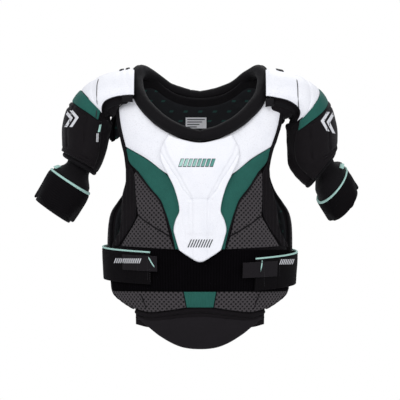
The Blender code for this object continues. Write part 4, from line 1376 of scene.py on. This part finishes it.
def make_belly():
    """The loop band that the straps fasten to, and the green insert below it."""
    low, high = BAND_HEIGHTS
    bottom = ((-BAND_REACH, low), (0, low), (BAND_REACH, low))
    top = ((-BAND_REACH, high), (0, high), (BAND_REACH, high))
    band = edges_between(bottom, top)
    options = {"relief": rib_relief(7.0, 0.28), "pitch": 1.75}
    front_sheet("belly_band", band, BELLY_BAND, "belly_elastic", **options)
    narrow, wide = INSERT_HALF_WIDTHS
    bottom = ((-narrow, HEM_BOTTOM), (narrow, HEM_BOTTOM))
    top = ((-wide, HEM_TOP), (wide, HEM_TOP))
    insert = edges_between(bottom, top)
    options = {"relief": rib_relief(5.2, 0.55), "pitch": 1.3}
    front_sheet("hem_insert", insert, COVER, "green_cloth", **options)


def make_hem_mesh(side_name, side):
    narrow, wide = INSERT_HALF_WIDTHS
    bottom = ((narrow + SEAM_GAP, HEM_BOTTOM),) + FRONT_HEM[1:]
    top = ((wide + SEAM_GAP, HEM_TOP), (HEM_REACH, HEM_TOP))
    outer = (FRONT_HEM[-1], HEM_SIDE, top[-1])
    hem = (bottom, top, (bottom[0], top[0]), outer)
    options = {"side": side, "relief": lattice_relief, "pitch": 1.1, "rim": 2.6}
    front_sheet("hem_mesh_" + side_name, hem, COVER, "spacer_mesh", **options)
    line = on_front(HEM_CHANNEL, side)
    binding("hem_channel_" + side_name, torso_place, line, -0.4, 1.5, "torso")


def hem_ridge(name, half, radius, body, nodes=()):
    """One of the two soft rolls along the bottom edge."""
    path = []
    for spot in on_front(mirrored(half)):
        path.append((*torso_place(spot, -radius), radius))
    mesh = make_tube(path, segments=14, relief=roll_relief)
    return add_piece(name, mesh, "black_tricot", body, nodes)


def roll_relief(turn, at, point):
    return 0.5 * soft_noise(point, 14.0) + 0.3 * soft_noise(point, 6.0, 3.0)


def make_flap():
    """The two rolled ridges below the hem and the padded flap that folds up from it."""
    low = [(x, z - 1.0) for x, z in RIDGE]
    high = [(x, z + 7.0) for x, z in FRONT_HEM]
    low, high = mirrored(low), mirrored(high)
    backing = [on_front(edge) for edge in edges_between(low, high)]
    mesh = make_sheet(backing, torso_place, HEM_BACKING, 4.0, rim=3.0)
    add_piece("hem_backing", mesh, "black_tricot", "torso")
    make_flap_gusset()
    hem_ridge("fine_belly_flap_piping", RIDGE, 4.6, "torso", ("belly_flap_piping",))
    hem_ridge("flap_top_ridge", FLAP_RIDGE, 3.9, "flap")
    bottom = mirrored(FLAP_BOTTOM)
    top = mirrored(VISIBLE_FLAP_TOP)
    flap = edges_between(bottom, top)
    relief = lines_relief((FLAP_SEAM,), -1.2, 1.2, 1.6, 0.7)
    options = {"body": "flap", "relief": relief, "pitch": 4.0, "rim": 7.0}
    piece = front_sheet("belly_flap", flap, FLAP, "charcoal_cloth", **options)
    puff(piece, 3.0, 2.4, flap_hold)


def make_flap_gusset():
    """The soft strip behind the ridges, where the flap folds up."""
    high = mirrored([(x, z + GUSSET_RISE) for x, z in VISIBLE_FLAP_TOP])
    low = mirrored([(x, z - GUSSET_DROP) for x, z in VISIBLE_FLAP_TOP])
    edges = [on_front(edge) for edge in edges_between(low, high)]
    mesh = make_sheet(edges, torso_place, FLAP_GUSSET, 3.0, rim=2.0)
    middle = VISIBLE_FLAP_TOP[0][1]
    spots = on_front([(0, middle + bend) for bend in GUSSET_BENDS])
    start, end = (torso_place(spot, FLAP_GUSSET[0]) * MILLIMETRE for spot in spots)
    add_piece("flap_gusset", mesh, "black_tricot", ("torso", "flap", start, end))


def flap_hold(point):
    seam = hump(distance_to(FLAP_SEAM, point.x, point.z), 2.4)
    return max(seam, eased(point.z, -406.0, -399.0))


def make_sternum_plate():
    left = [(-x, z) for x, z in PLATE_EDGE]
    edges = (mirrored(PLATE_TIP), mirrored(PLATE_TOP), left, PLATE_EDGE)
    layer = (SHELL[0] - 2.4, STERNUM_PLATE[1])
    options = {"relief": plate_relief, "pitch": 1.5, "rim": 2.4}
    return front_sheet("sternum_plate", edges, layer, "white_moulded", **options)


def make_neck_roll():
    """The padded roll round the neck, with a seam along it and at its front and back."""
    other = [(-x, y, z, r) for x, y, z, r in NECK_ROLL[-2:0:-1]]
    loop = [*NECK_ROLL, *other, NECK_ROLL[0]]
    path = [(x, y, z, r + ROLL_SPARE) for x, y, z, r in loop]
    centre = Vector((0, 0, -10))
    options = {"closed": True, "centre": centre, "relief": neck_roll_relief}
    mesh = make_tube(path, 3.0, 28, **options)
    nodes = ("collar_roll",)
    roll = add_piece("fine_collar_roll", mesh, "collar_knit", "torso", nodes)
    puff(roll, 2.5, 1.2, roll_hold)


def neck_roll_relief(turn, at, point):
    """Padding that is drawn in at the seams and puckers a little beside them."""
    joins = hump(point.x, 1.6) + hump(point.x + 18.5, 1.6) * (point.y > 0)
    seam = 1.0 * hump(turn - 2.3, 0.13) + 1.0 * hump(turn + 0.9, 0.13)
    pucker = 0.45 * soft_noise(point, 7.0) * (0.35 + seam)
    return -1.4 * joins - seam + pucker + 0.7 * soft_noise(point, 24.0)


def roll_hold(point):
    return hump(point.x, 4.0)


def make_strap(side_name, side):
    """A wide elastic strap from the back, with a mint edge and a pull tab."""
    free, sewn = (strap_girth(side, angle) for angle in STRAP_ANGLES[side_name])
    free_top, sewn_top = STRAP_TOPS[side_name]
    body = "strap_" + side_name
    top = ((free, free_top - 0.6), (sewn, sewn_top - 0.6))
    bottom = ((free, free_top - STRAP_HEIGHT), (sewn, sewn_top - STRAP_HEIGHT))
    strap = edges_between(bottom, top)
    relief = strap_relief(free)
    mesh = make_sheet(strap, torso_place, STRAP, 1.9, relief, rim=1.6)
    name = "torso_strap_" + side_name
    band = add_piece("fine_" + name, mesh, "ribbed_elastic", body, (name,))
    low = [(girth, z + 0.2) for girth, z in top]
    high = [(girth, z + PIPING_WIDTH) for girth, z in low]
    edge = edges_between(low, high)
    mesh = make_sheet(edge, torso_place, STRAP_PIPING, 2.0, rim=1.5)
    name = "strap_piping_" + side_name
    add_piece("fine_" + name, mesh, "mint_tape", body, (name,))
    near, far = (strap_girth(side, angle) for angle in TAB_ANGLES)
    top = ((near, free_top - TAB_DROP), (far, free_top - TAB_DROP + TAB_RISE))
    bottom = [(girth, z - TAB_HEIGHT) for girth, z in top]
    tab = edges_between(bottom, top)
    relief = lines_relief((), 0.0, 1.0, 0.5, 0.2)
    mesh = make_sheet(tab, torso_place, STRAP_TAB, 2.0, relief, rim=1.6)
    name = "strap_tab_" + side_name
    patch = add_piece("fine_" + name, mesh, "charcoal_cloth", body, (name,))
    return band, patch


def strap_relief(free):
    """Ribs along the strap, two sewn lines near its free end and a slight wave."""

    def relief(spot, point, edge):
        along = abs(spot[0] - free)
        sewn = hump(along - 7.0, 1.0) + hump(along - 52.0, 1.2)
        rib = 0.22 * math.sin(math.tau * spot[1] / 4.2)
        return rib - 0.7 * sewn + 0.5 * soft_noise(point, 26.0)

    return relief


def strap_girth(side, degrees):
    return side * math.radians(degrees) * GIRTH_RADIUS


def arm_sheet(node, side_name, edges, layer, finish, body, relief=None, pitch=3.0, place=None, **options):
    """A visible sheet on an arm's form that stands for a CAD node of the same name."""
    nodes = options.pop("nodes", (f"{node}_{side_name}",))
    place = place or arm_place(side_name)
    name = options.pop("name", f"fine_{node}") + "_" + side_name
    mesh = make_sheet(edges, place, layer, pitch, relief, lengths=ARM_LENGTHS, **options)
    return add_piece(name, mesh, finish, body, nodes)


def make_shoulder_pad(side_name):
    """The padding over the shoulder, inside the cap, that joins the front to the back."""
    pad = rectangle(SHOULDER_PAD_STATIONS, SHOULDER_PAD_ANGLES)
    relief = cushion_relief(1.2)
    piece = arm_sheet("shoulder_pad", side_name, pad, SHOULDER_PAD, "black_tricot", "torso", relief, 4.0)


def make_cap(side_name):
    """The moulded cap: white shell over a padded black base, with webbing tabs."""
    body = "cap_" + side_name
    shell = cap_edges(SHELL_FRONT[side_name], 0)
    base = cap_edges(BASE_FRONT[side_name], FLANGE_BACK)
    rim = [(at, angle - FLANGE_SHOWN * (1 + FLANGE_GROWTH * at)) for at, angle in SHELL_FRONT[side_name]]
    arm, neck = arm_place(side_name), neck_place(side_name)
    shell = [[(at or NECK_STATION, angle) for at, angle in edge] for edge in shell]
    relief = lines_relief(CAP_WELTS[side_name], 1.1, 2.2, 1.2, 0.35)
    options = {"relief": relief, "pitch": 2.8, "place": neck, "rim": 2.6}
    top = arm_sheet("cap_shell", side_name, shell, ARM_PANEL, "white_cloth", body, **options)
    seam = CAP_SEAM[side_name]
    lay_path("cap_seam_" + side_name, seam, ground_of(top), 0.85, "black_thread", body)
    relief = lines_relief((), 0, 1, 2.0, 1.0)
    options = {"relief": relief, "pitch": 4.4, "rim": 5.0}
    pad = arm_sheet("cap_base", side_name, base, CAP_BASE, "black_tricot", body, **options)
    puff(pad, 2.0, 1.6)
    options = {"lengths": ARM_LENGTHS}
    binding("cap_flange_binding_" + side_name, arm, rim, -9.5, 5.6, body, **options)
    name = "cap_edge_thread_" + side_name
    binding(name, arm, shell[2], -1.8, 1.3, body, "black_thread", **options)
    front = rectangle(*TAB_SPOTS[side_name])
    options = {"relief": tab_relief(front), "pitch": 1.4, "place": neck, "rim": 1.6}
    arm_sheet("front_webbing", side_name, front, FRONT_TAB, "webbing_weave", body, **options)
    for index, spots in enumerate(TOP_WEBBING[side_name]):
        options = {"name": f"top_webbing_{index}", "nodes": (), "pitch": 1.6, "place": neck, "rim": 1.4}
        arm_sheet("", side_name, rectangle(*spots), TOP_TAB, "webbing_weave", body, **options)
    back = rectangle(WEBBING_STATIONS, BACK_WEBBING_ANGLES)
    options = {"pitch": 1.8, "rim": 1.2}
    arm_sheet("back_webbing", side_name, back, BACK_TAB, "webbing_weave", body, **options)


def neck_place(side_name):
    """The arm's surface, carried on level past the neck end of the cap."""

    def place(spot, out):
        point = arm_point(side_name, max(0.0, spot[0]), spot[1], out)
        beyond = max(0.0, -spot[0]) * ARM_LENGTHS[0]
        point.x -= math.copysign(beyond, point.x)
        point.z -= 0.012 * beyond * beyond
        return point

    return place


def tab_relief(edges):
    """Bar tacks: two dense rows of stitches across a webbing tab."""
    low, high = edges[0][0][0], edges[1][0][0]

    def relief(spot, point, edge):
        share = (spot[0] - low) / (high - low)
        tack = hump(share - 0.22, 0.07) + hump(share - 0.72, 0.07)
        return 0.5 * tack + 0.2 * math.sin(math.tau * spot[1] / 2.5)

    return relief


def make_bridge(side_name):
    """The strips under the split between the cap and the guard."""
    for name, angles, reach, layer, finish in (
        ("split_gusset_", (-106.0, 104.0), (-0.42, 0.5), SPLIT_GUSSET, "white_cloth"),
        ("flange_gusset_", (-168.0, -104.0), (-0.5, 1.0), FLANGE_GUSSET, "black_tricot"),
    ):
        low, high = split_line(*angles, reach[0]), split_line(*angles, reach[1])
        edges = edges_between(low, high)
        mesh = make_sheet(edges, arm_place(side_name), layer, 3.2, None, 2.2, lengths=ARM_LENGTHS)
        add_piece(name + side_name, mesh, finish, gusset_bodies(side_name))


def gusset_bodies(side_name):
    middle = CAP_SPLIT_STATION + SPLIT_GAP / 2
    start, end = (arm_point(side_name, middle + step, 0, 0) * MILLIMETRE for step in (-0.35, 0.5))
    return "cap_" + side_name, "arm_" + side_name, start, end


def make_guard(side_name):
    """The bicep guard: white top, green stripe and black shell over a padded base."""
    body = "arm_" + side_name
    seams = GUARD_SEAMS[side_name]
    relief = lines_relief(seams, -0.9, 1.3, 1.0, 0.3)
    options = {"relief": relief, "pitch": 2.4, "rim": 2.4}
    edges = top_panel_edges()
    panel = arm_sheet("arm_top_panel", side_name, edges, ARM_PANEL, "white_cloth", body, **options)
    options = {"relief": lines_relief(seams, -0.7, 1.2, 0.7, 0.2), "pitch": 2.2, "rim": 2.2}
    edges = shown_stripe(side_name)
    band = arm_sheet("arm_stripe", side_name, edges, STRIPE, "green_cloth", body, **options)
    front, back = GUARD_FRONT_ANGLES, GUARD_BACK_ANGLE
    high = [(station + STRIPE_GAP, angle) for station, angle in edges[1]]
    high = [(high[0][0], front[0]), *high[1:-1], (GUARD_TOP_STATION, back)]
    low = list(zip(GUARD_LOW_STATIONS[side_name], (front[1], 0, back)))
    edges = edges_between(high, low)
    options = {"relief": guard_relief(side_name), "pitch": 3.0, "rim": 4.0}
    shell = arm_sheet("arm_guard_shell", side_name, edges, GUARD, "guard_tricot", body, **options)
    puff(shell, 3.0, 2.2, guard_hold(side_name))
    front = BASE_FRONT_ANGLES[side_name]
    high = split_line(BASE_TOP_ANGLE, BASE_BACK_ANGLE, SPLIT_GAP, BASE_SPLIT_SPREAD)
    low = list(zip(BASE_LOW_STATIONS[side_name], (front[1], 0, BASE_BACK_ANGLE)))
    edge = (high[0], (3.9, front[0]), (BASE_FULL_STATION, front[1]), low[0])
    base = (high, low, edge, (high[-1], low[-1]))
    flange = flange_place(side_name)
    relief = lines_relief((), 0, 1, 1.6, 1.2)
    options = {"relief": relief, "pitch": 4.4, "place": flange, "rim": 5.0}
    pad = arm_sheet("arm_base", side_name, base, ARM_BASE, "black_tricot", body, **options)
    puff(pad, 2.0, 1.6)
    options = {"lengths": ARM_LENGTHS}
    binding("guard_flange_binding_" + side_name, flange, edge, -9.2, 4.8, body, **options)
    binding("guard_low_binding_" + side_name, flange, low, -8.4, 4.6, body, **options)
    return (panel, band, shell), pad


def shown_stripe(side_name):
    """The stripe's four edges, widest at its front end."""
    front, start, stop = STRIPE_FRONT[side_name]
    back = STRIPE_ANGLES[1]
    low = [(start, front), (STRIPE_STATIONS[0], -86), (STRIPE_STATIONS[0], 0)]
    low += [(STRIPE_STATIONS[0], 86), (STRIPE_END_STATION, back)]
    high = [(stop, front - 2), (STRIPE_STATIONS[1] + 0.14, -80), (STRIPE_STATIONS[1], 0)]
    high += [(STRIPE_STATIONS[1], back)]
    return edges_between(low, high)


def guard_lines(side_name, station, angle):
    """How near a spot on the guard is to its sewn lines, from 0 to 1."""
    low = GUARD_LOW_STATIONS[side_name]
    front = eased(-angle, 20.0, 130.0)
    end = low[1] + (low[0] - low[1]) * front
    rows = max(hump((end - station - at) * ARM_LENGTHS[0], 1.8) for at in GUARD_LOW_ROWS)
    inside = eased(end - station, 0.55, 0.75)
    sides = max(hump((angle - at) * 0.85, 2.0) for at in GUARD_SIDE_ANGLES) * inside
    cross = hump((station - GUARD_TOP_STATION - 0.32) * ARM_LENGTHS[0], 1.6)
    return min(1.0, max(rows, sides, cross))


def guard_relief(side_name):
    """Soft ridges along the guard's lower edge and round its centre pad, with puckers."""

    def relief(spot, point, edge):
        line = guard_lines(side_name, *spot)
        pucker = 0.5 * soft_noise(point, 6.0) * (0.3 + line)
        return 1.5 - 2.2 * line + pucker + 0.8 * soft_noise(point, 26.0)

    return relief


def guard_hold(side_name):
    def held(point):
        station, angle = nearest_spot(side_name, point)
        return guard_lines(side_name, station, angle)

    return held


def nearest_spot(side_name, point):
    """The station and angle on an arm's form that lie nearest to a point."""
    best = None
    for step in range(ARM_STATIONS * 4 + 1):
        station = step / 4
        centre, outward, along, front, thick, deep, _ = arm_frame(side_name, station)
        if side_name == "left":
            point = Vector((-point.x, point.y, point.z)) if point.x < 0 else point
        offset = point - centre
        apart = abs(offset.dot(along))
        if best is None or apart < best[0]:
            angle = math.degrees(math.atan2(-offset.dot(front) / deep, offset.dot(outward) / thick))
            best = (apart, station, angle, offset.dot(along))
    return best[1] + best[3] / ARM_LENGTHS[0], best[2]


def full_ring(stations):
    """Four edges of a band right round an arm."""
    return rectangle(stations, (-180.0, 180.0))


def cuff_place(side_name, start, stop):
    """The cuff's surface, whose lower edge is wavy and turned out a little."""

    def place(spot, out):
        station, angle = spot
        low = eased(station, start + 0.6, stop)
        wave = 0.12 * math.sin(math.radians(angle * 4 + 40)) + 0.05 * math.sin(math.radians(angle * 9))
        flare = 2.4 * math.sin(math.radians(angle * 5)) * low
        return arm_point(side_name, station + wave * low, angle, out + flare)

    return place


def make_sleeve(side_name, side):
    """The elastic sleeve, its cuff, the cuff's mint edge and the loop at its top."""
    body = "arm_" + side_name
    sleeve = sleeve_place(side_name)
    ring = full_ring(SLEEVE_STATIONS)
    options = {"relief": wrinkle_relief(1.6, 17.0, 5.0 + side), "place": sleeve, "ring": True, "rim": 1.4}
    arm_sheet("arm_sleeve", side_name, ring, SLEEVE, "sleeve_elastic", body, **options)
    start, stop = CUFF_STATIONS[side_name]
    ring = full_ring((start, stop))
    options = {"relief": wrinkle_relief(0.8, 24.0, 9.0 + side), "pitch": 2.6, "ring": True, "rim": 2.2}
    options["place"] = cuff_place(side_name, start, stop)
    arm_sheet("arm_cuff", side_name, ring, CUFF, "ribbed_elastic", body, **options)
    ring = full_ring((start - PIPING_STATIONS - PIPING_SEAM, start - PIPING_SEAM * 0.4))
    options = {"pitch": 2.6, "ring": True, "rim": 1.5}
    arm_sheet("cuff_piping", side_name, ring, CUFF_PIPING, "mint_tape", body, **options)
    loop = rectangle(LOOP_STATIONS, LOOP_ANGLES)
    options = {"pitch": 1.6, "place": sleeve, "rim": 1.2}
    arm_sheet("sleeve_loop", side_name, loop, SLEEVE_LOOP, "mint_tape", body, **options)
    strap = rectangle((start + CUFF_STRAP_INSET, stop - CUFF_STRAP_INSET), CUFF_STRAP_ANGLES)
    options = {"relief": rib_relief(4.0, 0.2), "pitch": 2.0, "rim": 1.4}
    body = "cuff_end_" + side_name
    arm_sheet("cuff_strap", side_name, strap, CUFF_STRAP, "ribbed_elastic", body, **options)


def lay_path(name, path, ground, radius, finish, body, **options):
    mesh = make_tube(laid_path(path, ground, radius, **options), 2.0, 8)
    return add_piece(name, mesh, finish, body)


def lay_print(name, outlines, ground, finish, body, **options):
    return add_piece(name, make_print(outlines, ground, **options), finish, body)


def side_of(path, side):
    return [(x * side, z) for x, z in path]


def plate_marks(plate):
    ground = ground_of(plate)
    (x0, z0), (x1, z1) = PLATE_MARK
    bars = slanted_bars((x0, z0), (x1, z1), 8, 5.0)
    lay_print("plate_mark", bars, ground, "faded_print", "torso", raised=0.5)
    shade = slanted_bars((x0 - 1.2, z0 + 1.0), (x1 - 1.2, z1 - 1.4), 8, 5.0, 0.8)
    lay_print("plate_mark_outline", shade, ground, "dark_print", "torso", raised=0.25)
    (x0, z0), (x1, z1) = PLATE_LOW_MARK
    bars = slanted_bars((x0, z0), (x1, z1), 9, 6.5, 0.42)
    lay_print("plate_low_mark", bars, ground, "dark_print", "torso", raised=0.4)


def strap_marks(side_name, band, patch):
    ground = ground_of(band, patch)
    body = "strap_" + side_name
    start, stop, count = STRAP_MARKS[side_name]
    bars = slanted_bars(start, stop, count, 3.5, 0.45)
    lay_print("strap_mark_" + side_name, bars, ground, "white_print", body, raised=0.35, pitch=3.0)
    lay_path("strap_slash_" + side_name, STRAP_SLASH[side_name], ground, 1.2, "mint_tape", body)
    ends = STRAP_ENDS[side_name]
    mesh = make_stitches(ends, ground)
    add_piece("strap_stitches_" + side_name, mesh, "black_thread", body)


def arm_marks(side_name, parts, pad):
    ground = ground_of(*parts)
    body = "arm_" + side_name
    marks = GUARD_MARKS[side_name]
    lay_print("guard_mark_" + side_name, marks, ground, "white_print", body, raised=0.4, pitch=3.0)
    if side_name == "left":
        label_ground = ground_of(pad, *parts)
        lay_print("sleeve_label", (SLEEVE_LABEL,), label_ground, "mint_tape", body, raised=0.8)
        dots = slanted_bars(*DOT_LABEL, 3, 0.6, 0.6)
        lay_print("sleeve_label_dots", dots, label_ground, "white_print", body, raised=0.5)
    for index, seam in enumerate(GUARD_SEAMS[side_name]):
        lay_path(f"guard_seam_{index}_{side_name}", seam, ground, 0.9, "black_thread", body)


def chest_stitches(side_name, side, chest):
    """Two sewn rows inside the chest panel's edges."""
    ground = ground_of(chest)
    rows = [side_of(line, side) for line in CHEST_ROWS]
    mesh = make_stitches(rows, ground)
    add_piece("chest_stitches_" + side_name, mesh, "white_thread", "torso")


def neck_label(pad):
    """The size label inside the neck, with plain bars for its printing."""
    ground = ground_of(pad)
    options = {"start": 0.0, "facing": 1}
    lay_print("neck_label", (LABEL,), ground, "white_print", "torso", raised=0.9, **options)
    (x0, z0), (x1, _) = LABEL[0], LABEL[2]
    bars = []
    for row in range(4):
        top, end = z0 - 3.0 - row * 4.6, x1 - 3 - row * 5
        bars.append(((x0 + 3, top), (x0 + 3, top - 1.7), (end, top - 1.7), (end, top)))
    lay_print("neck_label_bars", bars, ground, "dark_print", "torso", raised=1.2, **options)


def make_studio():
    """A pale floor, a plain white surround and soft studio light."""
    mesh = bmesh.new()
    bmesh.ops.create_grid(mesh, x_segments=2, y_segments=2, size=FLOOR_SIZE)
    bmesh.ops.translate(mesh, verts=mesh.verts[:], vec=(0, 0, FLOOR_HEIGHT))
    data = bpy.data.meshes.new("floor")
    mesh.to_mesh(data)
    mesh.free()
    data.materials.append(flat_print("pale_floor", (0.86, 0.86, 0.87), 0.98, 0.7))
    floor = bpy.data.objects.new("floor", data)
    bpy.context.scene.collection.objects.link(floor)
    world = bpy.data.worlds.new("surround")
    bpy.context.scene.world = world
    world.use_nodes = True
    nodes, links = world.node_tree.nodes, world.node_tree.links
    light, seen = nodes["Background"], nodes.new("ShaderNodeBackground")
    light.inputs[0].default_value = (0.93, 0.95, 1.0, 1.0)
    light.inputs[1].default_value = WORLD_LIGHT
    seen.inputs[0].default_value = (1.0, 1.0, 1.0, 1.0)
    mix, path = nodes.new("ShaderNodeMixShader"), nodes.new("ShaderNodeLightPath")
    links.new(path.outputs["Is Camera Ray"], mix.inputs[0])
    links.new(light.outputs[0], mix.inputs[1])
    links.new(seen.outputs[0], mix.inputs[2])
    links.new(mix.outputs[0], nodes["World Output"].inputs[0])
    for name, place, size, power in LAMPS:
        lamp = bpy.data.lights.new(name, "AREA")
        lamp.energy, lamp.size = power, size
        lamp_object = bpy.data.objects.new(name, lamp)
        lamp_object.location = place
        towards = Vector((0, 0, -0.2)) - Vector(place)
        lamp_object.rotation_euler = towards.to_track_quat("-Z", "Y").to_euler()
        bpy.context.scene.collection.objects.link(lamp_object)


def make_camera():
    camera = bpy.data.cameras.new("camera")
    camera.lens = SENSOR_WIDTH * CAMERA_DISTANCE / FRAME_WIDTH
    camera.sensor_width = SENSOR_WIDTH
    camera.clip_end = 100.0
    viewer = bpy.data.objects.new("camera", camera)
    viewer.location = (0, VIEW_DEPTH - CAMERA_DISTANCE, VIEW_HEIGHT)
    viewer.rotation_euler = (math.pi / 2, 0, 0)
    bpy.context.scene.collection.objects.link(viewer)
    bpy.context.scene.camera = viewer
    bpy.context.scene.view_settings.view_transform = "Standard"


def keep_hidden_nodes():
    """The sealed plastic inserts stay as they are, with a moulded plastic finish."""
    for side_name, _ in SIDES:
        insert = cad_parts["cap_insert_" + side_name]
        insert.data.materials.clear()
        insert.data.materials.append(FINISHES["stiff_plastic"])


def main():
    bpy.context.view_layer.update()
    make_front_core()
    back_pad = make_back()
    make_belly()
    make_flap()
    plate = make_sternum_plate()
    make_neck_roll()
    plate_marks(plate)
    neck_label(back_pad)
    for side_name, side in SIDES:
        chest = make_chest(side_name, side)
        make_front_sides(side_name, side)
        make_hem_mesh(side_name, side)
        band, patch = make_strap(side_name, side)
        make_shoulder_pad(side_name)
        make_cap(side_name)
        make_bridge(side_name)
        parts, pad = make_guard(side_name)
        make_sleeve(side_name, side)
        chest_stitches(side_name, side, chest)
        strap_marks(side_name, band, patch)
        arm_marks(side_name, parts, pad)
    keep_hidden_nodes()
    make_studio()
    make_camera()


main()
